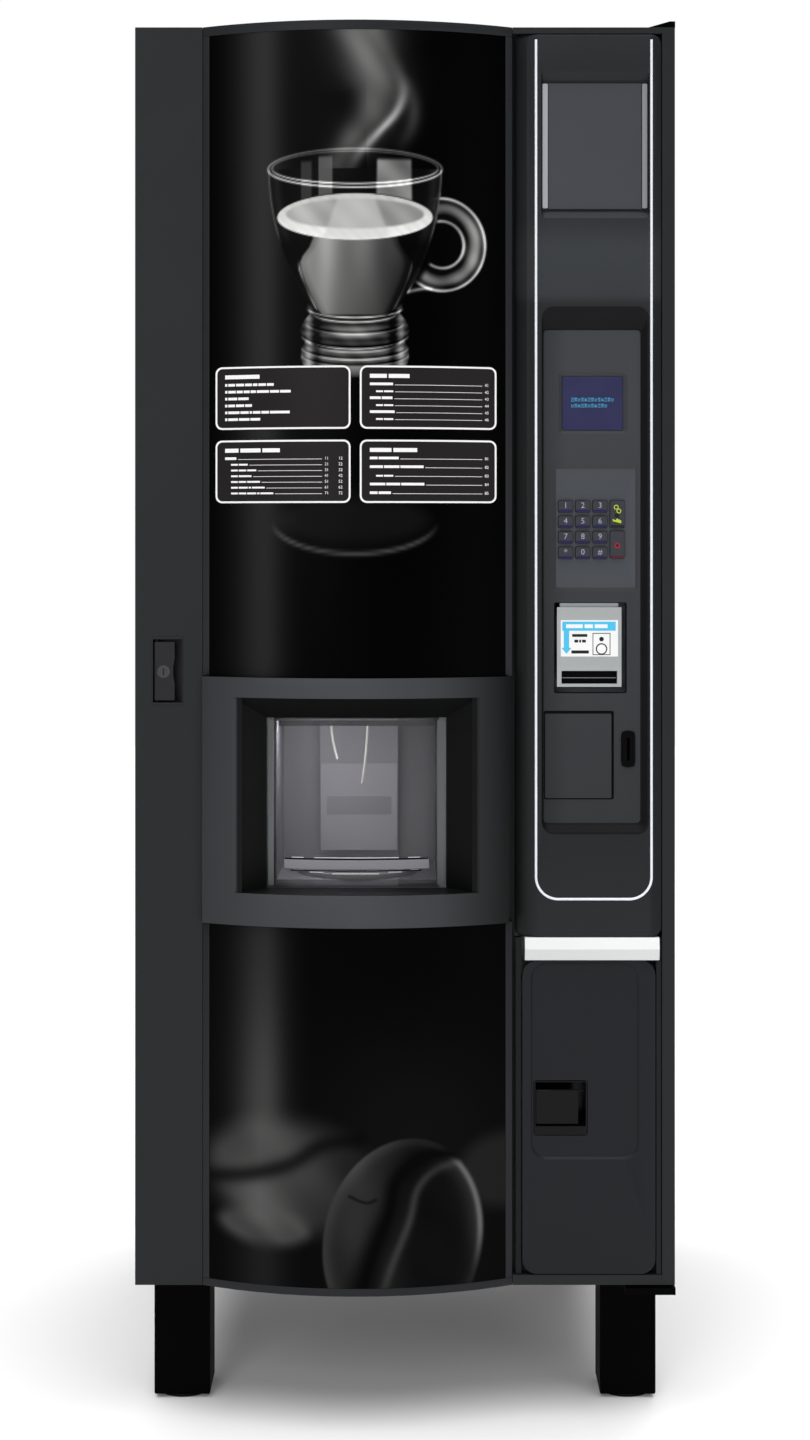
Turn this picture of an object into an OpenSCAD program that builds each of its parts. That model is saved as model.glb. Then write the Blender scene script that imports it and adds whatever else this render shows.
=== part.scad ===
// Hot drink vending machine: a sheet steel cabinet on legs, closed by one full-height door.
// The door carries a bowed graphic front, a lifting delivery window and a control column.
// X runs to the right, Y to the back and Z up. The origin is on the floor, under the middle.

/* [Cabinet] */
// Overall width
body_w = 711; // [705:1:720]
// Overall depth, from the proudest point of the front to the back edge
body_d = 813; // [805:1:825]
// Height of the cabinet and door above the floor
body_h = 1830; // [1828:1:1840]
// Free height under the cabinet
leg_h = 176; // [170:1:180]
// Side of the square legs
leg_w = 75; // [60:1:80]
// Thickness of the cabinet sheet
sheet = 2; // [1.5:0.5:3]

/* [Door] */
// Thickness of the door at its flat edge
door_t = 70; // [70:1:72]
// Gap between the closed door and the cabinet
door_gap = 4; // [3:0.5:6]
// How far the bowed front rises from the flat front
bow_rise = 47; // [45:1:48]
// Width of the bowed front
bow_w = 407; // [405:1:407]
// How far the delivery bezel stands proud of the bowed front
bezel_proud = 8; // [6:1:8]
// Furthest the delivery window lifts
window_lift = 190; // [150:5:200]

/* [Keypad] */
// Width and height of a key
key_size = [18.5, 15]; // [10:0.5:20]
// Distance between key columns and between key rows
key_pitch = [22.7, 20.5]; // [18:0.1:25]
// Travel of a key
key_travel = 2; // [1:0.5:2.5]

/* [Hidden] */
$fn = 48;

// Main planes
side_x = body_w / 2;
back_y = body_d / 2;
front_y = -back_y + bow_rise + bezel_proud;
door_back_y = front_y + door_t;
cabinet_y = door_back_y + door_gap;
back_panel_y = back_y - 10;
floor_top = leg_h + sheet;
fit = 0.2;

// Door: flat plane, left post, bowed section and control column
door_x = side_x - 0.5;
liner_t = 3.8;
frame_back_y = door_back_y - liner_t - fit;
bow_x0 = -266;
bow_x1 = bow_x0 + bow_w;
bow_x = (bow_x0 + bow_x1) / 2;
bow_r = (pow(bow_w / 2, 2) + pow(bow_rise, 2)) / (2 * bow_rise);
bow_cy = front_y - bow_rise + bow_r;
backing_y = front_y + 15.5;
column_x0 = 145.2;
column_x1 = 338;
cap_t = 12.3;
foot_cap_t = 10;

// Delivery port
bezel_z = [654, 977];
port_front = [-224.6, 97.2, 696, 950.7];
port_back = [-180.5, 52.7, 698, 921];
bezel_back_y = front_y + 5;
window_x = [-171.6, 40.4];
window_z = [701.6, 920.7];
window_r = 400;
window_y = front_y + 10;
window_t = 4;

// Control column
fascia_t = 14;
fascia_z = [189, 1821.8];
info_x = [181, 320];
info_z = [1572, 1760];
module_x = [182, 311];
module_z = [782, 1433];
module_y = front_y + 8.5;
module_t = 5;
keypad_x = [185.6, 309];
keypad_z = [1086.5, 1264];
keypad_depth = 2.5;
key_proud = 3;
key_origin = [211.9, 1200.2];
tall_key_x = 280;
tall_key_z = [1190, 1149.6];
tall_key_size = [18.5, 35.5];
display_x = [201, 295];
display_z = [1295, 1378];
bill_x = [200.5, 285.7];
bill_z = [962, 1067];
cover_x = [184.7, 272];
cover_z = [815.5, 926.7];
coin_x = [286.3, 302.4];
coin_z = [857.5, 902.6];
bar_x = [157.7, 334.6];
bar_z = [603.2, 633];
lower_x = [154, 330];
lower_z = [189.5, 602.8];
return_x = [170, 240];
return_z = [372, 443.6];
flap_x = [173, 228.3];
flap_z = [386, 427.6];
flap_t = 2.6;
flap_axis_y = front_y + 9;

// Lock
pocket_x = [-332.6, -291.9];
pocket_z = [939, 1028.3];
handle_x1 = -303.2;
handle_z = [945, 1021.6];
handle_r = 4;
handle_axis = [-327.4, front_y + 5];
lock_c = [-317.5, 982.6];
lock_r = 8.4;
latch_c = [-296, front_y + 44];

// Hinge
hinge_c = [side_x - 8.9, front_y + 15];
hinge_r = 6;
hinge_gap = 0.05;

// Machinery inside the cabinet
shelf_z = 1300;
canister = [112, 300, 230];
canister_x = [-290, -168, -46];
canister_y = -110;
auger_z = shelf_z + 34;
turret_c = [195, 130];
turret_z = 1320;
turret_shaft_r = 14;
station_x = [-176, 46];
station_z = [688, 915];
station_y = [cabinet_y + 3, -95];
grille_c = [-65, -195];
grille_r = 84;
brewer_c = [150, 60];
brewer_z = [930, 1210];
brewer_bore = 42;

module block(x, y, z) {
    translate([x[0], y[0], z[0]])
        cube([x[1] - x[0], y[1] - y[0], z[1] - z[0]]);
}

// Plate in the XZ plane with round corners of radius r
module round_plate(x, y, z, r) {
    block([x[0] + r, x[1] - r], y, z);
    block(x, y, [z[0] + r, z[1] - r]);
    for (cx = [x[0] + r, x[1] - r])
        for (cz = [z[0] + r, z[1] - r])
            translate([cx, y[0], cz])
                rotate([-90, 0, 0])
                    cylinder(r = r, h = y[1] - y[0]);
}

// ---- Cabinet ----

module side_sheet(flange) {
    lip = 26;
    linear_extrude(body_h - leg_h - 2 * sheet - 2 * fit)
        polygon([
            [0, cabinet_y], [flange ? lip : lip - 6, cabinet_y],
            [flange ? lip : lip - 6, cabinet_y + sheet], [sheet, cabinet_y + sheet],
            [sheet, back_y], [0, back_y]
        ]);
}

module cabinet_left_side() {
    color("#2b2c2e")
        translate([-side_x, 0, floor_top + fit])
            side_sheet(true);
}

module cabinet_right_side() {
    color("#2b2c2e")
        translate([side_x, 0, floor_top + fit])
            mirror([1, 0, 0])
                side_sheet(false);
}

module cabinet_back() {
    edge = side_x - sheet - fit;
    color("#2b2c2e")
        difference() {
            block([-edge, edge], [back_panel_y, back_panel_y + sheet],
                [floor_top + fit, body_h - sheet - fit]);
            for (row = [0 : 7])
                for (col = [0 : 1])
                    block([-220 + col * 240, -20 + col * 240], [back_panel_y - 1, back_panel_y + 3],
                        [1480 + row * 26, 1488 + row * 26]);
        }
}

module cabinet_top() {
    color("#2b2c2e")
        block([-side_x, side_x], [cabinet_y, back_y], [body_h - sheet, body_h]);
}

module cabinet_floor() {
    color("#2b2c2e")
        block([-side_x, side_x], [cabinet_y, back_y], [leg_h, floor_top]);
}

leg_x = 300;
leg_y = [cabinet_y - 2 + leg_w / 2, back_y - 6 - leg_w / 2];
leg_wall = 3;
foot_disc = 5;
stud_r = 6;

module at_legs() {
    for (x = [-leg_x, leg_x])
        for (y = leg_y)
            translate([x, y, 0])
                children();
}

module legs() {
    color("#0a0a0b")
        at_legs()
            difference() {
                translate([-leg_w / 2, -leg_w / 2, foot_disc + fit])
                    cube([leg_w, leg_w, leg_h - foot_disc - 2 * fit]);
                translate([-leg_w / 2 + leg_wall, -leg_w / 2 + leg_wall, -1])
                    cube([leg_w - 2 * leg_wall, leg_w - 2 * leg_wall, 40]);
                translate([-leg_w / 2 + leg_wall, -leg_w / 2 + leg_wall, 50])
                    cube([leg_w - 2 * leg_wall, leg_w - 2 * leg_wall, leg_h]);
                cylinder(r = stud_r + hinge_gap, h = 100);
            }
}

module levelling_feet() {
    color("#3a3a3c")
        at_legs() {
            cylinder(r = 34, h = foot_disc);
            cylinder(r = stud_r, h = 62);
        }
}

module hinge_plate_plan() {
    polygon([
        [side_x - 7, front_y + 1], [side_x, front_y + 1], [side_x, cabinet_y + 110],
        [side_x - 32, cabinet_y + 110], [side_x - 32, front_y + 38]
    ]);
}

module hinge_plates() {
    pin_in = 26;
    color("#1c1c1e") {
        translate([0, 0, body_h + fit])
            linear_extrude(8)
                hinge_plate_plan();
        translate([hinge_c[0], hinge_c[1], body_h - pin_in])
            cylinder(r = hinge_r, h = pin_in + 8);
        difference() {
            block([290, side_x], [front_y - 4, cabinet_y + 110], [leg_h - 12, leg_h - 3]);
            block([leg_x - leg_w, leg_x + leg_w / 2 + 1], [leg_y[0] - leg_w / 2 - 1, 0],
                [leg_h - 20, leg_h]);
        }
        block([leg_x + leg_w / 2 + 1, side_x], [cabinet_y + 4, cabinet_y + 110],
            [leg_h - 4, leg_h - fit]);
        translate([hinge_c[0], hinge_c[1], leg_h - 12])
            cylinder(r = hinge_r, h = pin_in + 12);
    }
}

// ---- Machinery ----

// Welded sheet frame: canister shelf, back plane, platform of the cup station and bowl rail
module inner_frame() {
    inner_x = [-side_x + sheet + 1, side_x - sheet - 1];
    back = 300;
    platform_z = [station_z[0] - 4, station_z[0] - fit];
    color("#b9bbbd")
        difference() {
            union() {
                block(inner_x, [canister_y - 6, back], [shelf_z - sheet, shelf_z]);
                block(inner_x, [back - sheet, back], [platform_z[0], shelf_z]);
                block(inner_x, [station_y[1] + 5, back], platform_z);
                block([station_x[0] - 4, station_x[1] + 4], [station_y[0] + 4, station_y[1] + 5],
                    platform_z);
                block([inner_x[0], 20], [canister_y + 24, canister_y + 26], [1200, shelf_z]);
                translate([turret_c[0], turret_c[1], shelf_z - sheet])
                    cylinder(r = 24, h = 14);
            }
            translate([turret_c[0], turret_c[1], shelf_z - 10])
                cylinder(r = turret_shaft_r + hinge_gap, h = 30);
        }
}

module ingredient_canisters() {
    wall = 3;
    lid = 8;
    for (x = canister_x)
        translate([x, canister_y, shelf_z + 1]) {
            color("#d9dcdf")
                difference() {
                    union() {
                        translate([-canister[0] / 2, 0, 0])
                            cube([canister[0], canister[1], canister[2]]);
                        translate([-20, -45, 4])
                            cube([40, 46, 62]);
                    }
                    translate([-canister[0] / 2 + wall, wall, wall])
                        cube([canister[0] - 2 * wall, canister[1] - 2 * wall, canister[2]]);
                    translate([-17, -42, -1])
                        cube([34, 50, 64]);
                    translate([0, canister[1] - 10, auger_z - shelf_z - 1])
                        rotate([-90, 0, 0])
                            cylinder(r = 5 + hinge_gap, h = 20);
                }
            color("#2a2a2c")
                translate([-canister[0] / 2 - 2, -2, canister[2] + fit])
                    cube([canister[0] + 4, canister[1] + 4, lid]);
        }
}

// Powder auger: a shaft along Y with one continuous flight
module auger(x) {
    length = canister[1] - 14;
    flight_r = 24;
    turns = 6;
    color("#e8e8ea")
        translate([x, canister_y + 6, auger_z])
            rotate([-90, 0, 0]) {
                cylinder(r = 5, h = canister[1] + 4);
                linear_extrude(length, twist = -360 * turns, slices = turns * 10, $fn = 4)
                    translate([0, -1.6])
                        square([flight_r, 3.2]);
            }
}

module auger_left() {
    auger(canister_x[0]);
}

module auger_middle() {
    auger(canister_x[1]);
}

module auger_right() {
    auger(canister_x[2]);
}

module drive_motors() {
    motor_y = canister_y + canister[1] + 12;
    color("#55585c")
        for (x = canister_x) {
            block([x - 30, x + 30], [motor_y, motor_y + 26], [auger_z - 26, auger_z + 40]);
            translate([x, motor_y + 26, auger_z + 10])
                rotate([-90, 0, 0])
                    cylinder(r = 22, h = 48);
        }
}

module mixing_bowls() {
    bowl_h = 70;
    color("#e4e2dc")
        for (x = canister_x)
            translate([x, canister_y - 25, shelf_z - 12 - bowl_h]) {
                rotate_extrude()
                    polygon([
                        [9, -40], [11, -40], [11, 0], [46, bowl_h - 8], [46, bowl_h],
                        [43.5, bowl_h], [43.5, bowl_h - 7], [9, 1]
                    ]);
                translate([-10, 44.5, bowl_h - 30])
                    cube([20, 4.3, 28]);
            }
}

module water_tank() {
    tank_x = [-335, -190];
    tank_y = [110, 293];
    wall = 2;
    color("#c4c7ca") {
        difference() {
            block(tank_x, tank_y, [900, 1180]);
            block([tank_x[0] + wall, tank_x[1] - wall], [tank_y[0] + wall, tank_y[1] - wall],
                [900 + wall, 1181]);
        }
        block([tank_x[0] - 4, tank_x[1] + 4], [tank_y[0] - 4, tank_y[1] + 4],
            [1180 + fit, 1186]);
        // outlet valves
        for (i = [0 : 2])
            translate([tank_x[0] + 30 + i * 42, tank_y[0] - 24, 930])
                rotate([-90, 0, 0])
                    cylinder(r = 14, h = 25);
    }
}

module brewer_body() {
    color("#d6d3cb")
        difference() {
            union() {
                translate([brewer_c[0], brewer_c[1], brewer_z[0]])
                    cylinder(r = brewer_bore + 12, h = brewer_z[1] - brewer_z[0] - 60);
                block([brewer_c[0] - 70, brewer_c[0] + 70], [brewer_c[1] + 30, brewer_c[1] + 90],
                    brewer_z);
                block([brewer_c[0] - 20, brewer_c[0] + 20], [brewer_c[1] + 89, 297.8],
                    [brewer_z[0] + 40, brewer_z[0] + 200]);
            }
            translate([brewer_c[0], brewer_c[1], brewer_z[0] + 20])
                cylinder(r = brewer_bore, h = brewer_z[1]);
        }
}

module brewer_piston() {
    head_z = brewer_z[1] - 100;
    color("#3b3d40")
        translate([brewer_c[0], brewer_c[1], head_z]) {
            cylinder(r = brewer_bore - hinge_gap, h = 22);
            cylinder(r = 9, h = 90);
        }
}

// Carousel of cup tubes; each tube holds a stack of paper cups
module cup_turret() {
    tubes = 5;
    ring_r = 88;
    tube_r = 42;
    tube_h = 420;
    color("#c9ccd0") {
        difference() {
            union() {
                translate([turret_c[0], turret_c[1], turret_z])
                    cylinder(r = ring_r + tube_r + 4, h = 6);
                translate([turret_c[0], turret_c[1], turret_z - 26])
                    cylinder(r = turret_shaft_r, h = tube_h + 54);
                for (i = [0 : tubes - 1])
                    translate([turret_c[0], turret_c[1], turret_z])
                        rotate([0, 0, i * 360 / tubes])
                            translate([ring_r, 0, 0])
                                cylinder(r = tube_r, h = tube_h);
            }
            for (i = [0 : tubes - 1])
                translate([turret_c[0], turret_c[1], turret_z + 6])
                    rotate([0, 0, i * 360 / tubes])
                        translate([ring_r, 0, 0])
                            cylinder(r = tube_r - 2, h = tube_h);
        }
    }
    color("#f1efe9")
        for (i = [0 : tubes - 1])
            translate([turret_c[0], turret_c[1], turret_z + 7])
                rotate([0, 0, i * 360 / tubes])
                    translate([ring_r, 0, 0])
                        cylinder(r = tube_r - 3, h = tube_h - 30);
}

module cup_station() {
    wall = 3;
    color("#4b4c50")
        difference() {
            block(station_x, station_y, station_z);
            block([station_x[0] + wall, station_x[1] - wall], [station_y[0] - 1, station_y[1] - wall],
                [station_z[0] + 10, station_z[1] - wall]);
        }
    color("#5c5d62")
        block([-120, -10], [station_y[1] - wall - 22, station_y[1] - wall + 1],
            [station_z[0] + 40, station_z[1] - wall]);
}

module drip_grille() {
    grille_z = station_z[0] + 10 + fit;
    color("#8c8e92")
        difference() {
            translate([grille_c[0], grille_c[1], grille_z])
                cylinder(r = grille_r, h = 6, $fn = 96);
            for (i = [-5 : 5])
                block([grille_c[0] - sqrt(pow(grille_r - 10, 2) - pow(i * 12, 2)),
                    grille_c[0] + sqrt(pow(grille_r - 10, 2) - pow(i * 12, 2))],
                    [grille_c[1] + i * 12 - 3, grille_c[1] + i * 12 + 3],
                    [grille_z - 1, grille_z + 8]);
        }
}

module waste_bucket() {
    bucket_x = [-210, 60];
    bucket_y = [-250, 60];
    bucket_z = [floor_top + 1, 430];
    wall = 3;
    color("#5b5e63")
        difference() {
            block(bucket_x, bucket_y, bucket_z);
            block([bucket_x[0] + wall, bucket_x[1] - wall], [bucket_y[0] + wall, bucket_y[1] - wall],
                [bucket_z[0] + wall, bucket_z[1] + 1]);
        }
}

inlet_x = -270;
inlet_z = 300;
inlet_r = 13.2;

module rear_inlets() {
    plate_y = back_panel_y + sheet + fit;
    color("#b08d4f")
        translate([inlet_x, plate_y, inlet_z])
            rotate([-90, 0, 0]) {
                cylinder(r = 20, h = 1.3);
                cylinder(r = inlet_r, h = 6.5);
            }
    color("#1a1a1b")
        difference() {
            block([inlet_x - 30, inlet_x + 30], [plate_y, plate_y + 5], [inlet_z + 60, inlet_z + 105]);
            block([inlet_x - 14, inlet_x + 14], [plate_y + 1.5, plate_y + 8],
                [inlet_z + 72, inlet_z + 93]);
        }
}

// ---- Door structure ----

// Segment under the bow, between the arc of radius r and the line y = back
module bow_plan(r, back) {
    intersection() {
        translate([bow_x, bow_cy])
            circle(r = r, $fn = 240);
        translate([bow_x0, bow_cy - r - 1])
            square([bow_w, back - bow_cy + r + 1]);
    }
}

module bow_solid(r, back, z) {
    translate([0, 0, z[0]])
        linear_extrude(z[1] - z[0])
            bow_plan(r, back);
}

module door_frame() {
    post_wall = 2;
    rail_z = [leg_h + 30, body_h - 34];
    hinge_block = 40;
    left_x = [-door_x, bow_x0 - 0.4];
    right_x = [column_x1 + fit, door_x];
    color("#2d2e30") {
        // left post, open to the back, with the lock pocket's hole
        difference() {
            block(left_x, [front_y, frame_back_y], [leg_h, body_h]);
            block([left_x[0] + post_wall, left_x[1] - post_wall],
                [front_y + post_wall, frame_back_y + 1],
                [leg_h + post_wall, body_h - post_wall]);
            block([pocket_x[0] - 0.1, pocket_x[1] + 0.1], [front_y - 1, front_y + 10],
                [pocket_z[0] - 0.1, pocket_z[1] + 0.1]);
        }
        // right post, with a hinge block at each end
        difference() {
            block(right_x, [front_y, frame_back_y], [leg_h, body_h]);
            block([right_x[0] + post_wall, right_x[1] - post_wall],
                [front_y + post_wall, frame_back_y + 1],
                [leg_h + hinge_block, body_h - hinge_block]);
            translate([hinge_c[0], hinge_c[1], leg_h - 1])
                cylinder(r = hinge_r + hinge_gap, h = 29);
            translate([hinge_c[0], hinge_c[1], body_h - 28])
                cylinder(r = hinge_r + hinge_gap, h = 29);
        }
        // top and bottom rails, each with a lip over the control column
        for (z = [[leg_h, rail_z[0]], [rail_z[1], body_h]])
            block([left_x[1] + fit, column_x1], [backing_y + 0.5, frame_back_y], z);
        block([bow_x1 + 0.4, column_x1], [front_y, backing_y + 0.5], [leg_h, leg_h + 13]);
        block([bow_x1 + 0.4, column_x1], [front_y, backing_y + 0.5], [body_h - 8, body_h]);
        // mullion between the bowed front and the control column
        block([116, column_x0 - fit], [backing_y + 0.5, frame_back_y],
            [rail_z[0] + fit, rail_z[1] - fit]);
    }
}

module door_liner() {
    liner_y = [frame_back_y + fit, door_back_y];
    edge = door_x - 2;
    color("#a9acb0")
        difference() {
            block([-edge, edge], liner_y, [leg_h + 2, body_h - 2]);
            block([station_x[0], station_x[1]], [liner_y[0] - 1, liner_y[1] + 1],
                [station_z[0], station_z[1] + 10]);
            block([bill_x[0] + 2, bill_x[1] - 2], [liner_y[0] - 1, liner_y[1] + 1],
                [bill_z[0] + 6, bill_z[1] + 62]);
            block([190, 300], [liner_y[0] - 1, liner_y[1] + 1], [640, 934]);
            for (z = [320, 1000, 1680])
                block([latch_c[0] - 6, latch_c[0] + 6], [liner_y[0] - 1, liner_y[1] + 1],
                    [z - 6, z + 46]);
        }
}

module graphic_surround() {
    strip = 9;
    color("#35363a") {
        bow_solid(bow_r, backing_y, [body_h - cap_t, body_h]);
        bow_solid(bow_r, backing_y, [leg_h, leg_h + foot_cap_t]);
        for (z = [[leg_h + foot_cap_t + fit, bezel_z[0] - fit],
                [bezel_z[1] + fit, body_h - cap_t - fit]])
            for (x = [[bow_x0, bow_x0 + strip], [bow_x1 - strip, bow_x1]])
                intersection() {
                    bow_solid(bow_r, backing_y, z);
                    block(x, [-back_y, 0], z);
                }
    }
}

module graphic_panel(z) {
    inset = 1;
    thick = 4;
    strip = 9 + fit;
    color("#0b0b0c")
        intersection() {
            difference() {
                bow_solid(bow_r - inset, backing_y, z);
                translate([bow_x, bow_cy, z[0] - 1])
                    cylinder(r = bow_r - inset - thick, h = z[1] - z[0] + 2, $fn = 240);
            }
            block([bow_x0 + strip, bow_x1 - strip], [-back_y, 0], z);
        }
}

module graphic_panel_upper() {
    graphic_panel([bezel_z[1] + fit, body_h - cap_t - fit]);
}

module graphic_panel_lower() {
    graphic_panel([leg_h + foot_cap_t + fit, bezel_z[0] - fit]);
}

// ---- Delivery port ----

// Hole of the delivery port, grown by g all round: straight through the curved front, then splayed
module port_funnel(g) {
    y0 = bow_cy - sqrt(pow(bow_r + bezel_proud, 2) - pow(port_front[0] - bow_x, 2));
    y1 = bezel_back_y + 1;
    f = port_front;
    b = port_back;
    block([f[0] - g, f[1] + g], [-back_y - 1, y0], [f[2] - g, f[3] + g]);
    polyhedron(
        points = [
            [f[0] - g, y0, f[2] - g], [f[1] + g, y0, f[2] - g],
            [f[1] + g, y0, f[3] + g], [f[0] - g, y0, f[3] + g],
            [b[0] - g, y1, b[2] - g], [b[1] + g, y1, b[2] - g],
            [b[1] + g, y1, b[3] + g], [b[0] - g, y1, b[3] + g]
        ],
        faces = [[3, 2, 1, 0], [4, 5, 6, 7], [1, 5, 4, 0], [2, 6, 5, 1], [3, 7, 6, 2], [0, 4, 7, 3]]
    );
}

module bezel_block(g) {
    intersection() {
        translate([0, 0, bezel_z[0] + g])
            linear_extrude(bezel_z[1] - bezel_z[0] - 2 * g)
                translate([bow_x, bow_cy])
                    circle(r = bow_r + bezel_proud - g, $fn = 240);
        block([bow_x0 + g, bow_x1 - 4.4 - g], [-back_y - 1, bezel_back_y + g], [0, body_h]);
    }
}

module delivery_bezel() {
    skin = 4;
    color("#3c3d42")
        difference() {
            bezel_block(0);
            port_funnel(0);
            difference() {
                bezel_block(skin);
                port_funnel(skin);
            }
        }
}

module delivery_window() {
    centre = [(window_x[0] + window_x[1]) / 2, window_y + window_r];
    color("#8d8d93") {
        intersection() {
            difference() {
                translate([centre[0], centre[1], window_z[0]])
                    cylinder(r = window_r, h = window_z[1] - window_z[0], $fn = 240);
                translate([centre[0], centre[1], window_z[0] - 1])
                    cylinder(r = window_r - window_t, h = window_z[1], $fn = 240);
            }
            block(window_x, [window_y - 1, 0], window_z);
        }
    }
}

// ---- Control column ----

module control_fascia() {
    slope = 16;
    color("#26272b")
        difference() {
            translate([0, 0, fascia_z[0]])
                linear_extrude(fascia_z[1] - fascia_z[0])
                    polygon([
                        [column_x0, front_y + 6], [column_x0 + slope, front_y],
                        [column_x1, front_y], [column_x1, front_y + fascia_t],
                        [column_x0, front_y + fascia_t]
                    ]);
            block(info_x, [front_y - 1, 0], info_z);
            block([module_x[0] - 1, module_x[1] + 9], [front_y - 1, 0],
                [module_z[0] - 12, module_z[1] + 4]);
            block([lower_x[0] - fit, lower_x[1] + fit], [front_y - 1, 0], [0, lower_z[1] + fit]);
            block([bar_x[0] - fit, bar_x[1] + fit], [front_y - 1, 0], [lower_z[1], bar_z[1] + fit]);
        }
}

module info_panel() {
    color("#484a50") {
        block([info_x[0] + fit, info_x[1] - fit], [front_y + 10, front_y + 13],
            [info_z[0] + fit, info_z[1] - fit]);
        block([188.6, 312], [front_y + 7, front_y + 11], [1592, 1757.5]);
    }
}

module control_module() {
    lid_x = [module_x[0] - 0.8, module_x[1] + 8.8];
    lid_z = [module_z[0] - 11.8, module_z[1] + 3.8];
    color("#222327")
        difference() {
            union() {
                block(lid_x, [module_y + 1.5, module_y + module_t], lid_z);
                block(module_x, [module_y, module_y + module_t], module_z);
            }
            block(display_x, [module_y - 1, module_y + 10], display_z);
            block(keypad_x, [module_y - 1, module_y + keypad_depth], keypad_z);
            block([bill_x[0] - 4, bill_x[1] + 5.7], [module_y - 1, module_y + 10],
                [bill_z[0] - 7, bill_z[1] + 6]);
            block([coin_x[0] - 0.1, coin_x[1] + 0.1], [module_y - 1, module_y + 10],
                [coin_z[0] - 0.1, coin_z[1] + 0.1]);
            for (col = [0 : 2])
                for (row = [0 : 3])
                    key_hole(key_position(col, row), key_size);
            for (z = tall_key_z)
                key_hole([tall_key_x, z], tall_key_size);
        }
}

module display_window() {
    back = module_y + module_t + fit;
    color("#1b1c3a") {
        block([display_x[0] - 3, display_x[1] + 3], [back, back + 4],
            [display_z[0] - 3, display_z[1] + 3]);
        block([208, 287], [back - 2, back + 1], [1302, 1371]);
    }
}

// Keypad

function key_position(col, row) =
    [key_origin[0] + col * key_pitch[0], key_origin[1] - row * key_pitch[1]];

module key_hole(c, size) {
    gap = 0.4;
    block([c[0] - size[0] / 2 - gap, c[0] + size[0] / 2 + gap], [module_y - 1, module_y + 10],
        [c[1] - size[1] / 2 - gap, c[1] + size[1] / 2 + gap]);
}

module key_cap(c, size) {
    face_y = module_y + keypad_depth - key_proud;
    color("#2e3040")
        round_plate([c[0] - size[0] / 2, c[0] + size[0] / 2], [face_y, face_y + 9],
            [c[1] - size[1] / 2, c[1] + size[1] / 2], 2);
}

module number_key(col, row) {
    key_cap(key_position(col, row), key_size);
}

module bill_validator() {
    plate_y = module_y + 1;
    color("#a7a9ad")
        difference() {
            union() {
                block(bill_x, [plate_y, plate_y + 5], bill_z);
                block([bill_x[0] + 4, bill_x[1] - 4], [plate_y + 4, plate_y + 130],
                    [bill_z[0] + 8, bill_z[1] + 60]);
            }
            block([206.5, 280], [plate_y - 1, plate_y + 60], [966, 983]);
        }
}

module reader_cover() {
    color("#222327")
        round_plate(cover_x, [module_y - 2, module_y - 0.1], cover_z, 2);
}

module coin_slot() {
    slit = [3.6, 30];
    c = [(coin_x[0] + coin_x[1]) / 2, (coin_z[0] + coin_z[1]) / 2];
    color("#17181a")
        difference() {
            block(coin_x, [module_y - 3, module_y + 8], coin_z);
            block([c[0] - slit[0] / 2, c[0] + slit[0] / 2], [module_y - 4, module_y + 9],
                [c[1] - slit[1] / 2, c[1] + slit[1] / 2]);
        }
}

module light_bar() {
    crease = (bar_z[0] + bar_z[1]) / 2;
    color("#f4f4f4")
        translate([bar_x[0], 0, 0])
            rotate([90, 0, 90])
                linear_extrude(bar_x[1] - bar_x[0])
                    polygon([
                        [front_y - 1, bar_z[0]], [front_y - 4, crease], [front_y - 1, bar_z[1]],
                        [front_y + 12, bar_z[1]], [front_y + 12, bar_z[0]]
                    ]);
}

module lower_panel() {
    panel_y = [front_y + 0.5, front_y + 8];
    corner = 26;
    color("#1f2024")
        difference() {
            union() {
                block([lower_x[0], lower_x[1] - corner], panel_y, lower_z);
                block([lower_x[0], lower_x[1]], panel_y, [lower_z[0] + corner, lower_z[1]]);
                translate([lower_x[1] - corner, panel_y[0], lower_z[0] + corner])
                    rotate([-90, 0, 0])
                        cylinder(r = corner, h = panel_y[1] - panel_y[0]);
            }
            round_plate([170.5, 308], [panel_y[0] - 1, panel_y[0] + 2.5], [341, 700], 22);
            block([return_x[0] - 0.1, return_x[1] + 0.1], [panel_y[0] - 1, panel_y[1] + 1],
                [return_z[0] - 0.1, return_z[1] + 0.1]);
        }
}

module coin_return_cup() {
    cup_y = [front_y + 3.5, front_y + 56];
    wall = 2;
    color("#1a1b1d")
        difference() {
            block(return_x, cup_y, return_z);
            block([return_x[0] + wall, return_x[1] - wall], [cup_y[0] - 1, cup_y[1] - wall],
                [return_z[0] + 12, return_z[1] - wall]);
            translate([return_x[0] - 1, flap_axis_y, flap_z[1] + 2])
                rotate([0, 90, 0])
                    cylinder(r = 1.5 + hinge_gap, h = 80);
        }
}

module coin_return_flap() {
    color("#0c0c0d") {
        block(flap_x, [flap_axis_y - flap_t / 2, flap_axis_y + flap_t / 2], [flap_z[0], flap_z[1] + 2]);
        translate([return_x[0] + 0.4, flap_axis_y, flap_z[1] + 2])
            rotate([0, 90, 0])
                cylinder(r = 1.5, h = return_x[1] - return_x[0] - 0.8);
    }
}

module coin_changer() {
    color("#6a6d72") {
        block([195, 295], [front_y + 30, front_y + 130], [650, 900]);
        block([225, 260], [front_y + 24, front_y + 100], [900.2, 930]);
    }
}

// ---- Lock ----

module lock_pocket() {
    wall = 1;
    end_wall = 3;
    pocket_y = [front_y - 0.8, front_y + 24];
    color("#151618")
        difference() {
            block(pocket_x, pocket_y, pocket_z);
            block([pocket_x[0] + wall, pocket_x[1] - wall], [pocket_y[0] - 1, pocket_y[1] - wall],
                [pocket_z[0] + end_wall, pocket_z[1] - end_wall]);
            translate([handle_axis[0], handle_axis[1], pocket_z[0] + 1])
                cylinder(r = 1.5 + hinge_gap, h = pocket_z[1] - pocket_z[0] - 2);
        }
}

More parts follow.
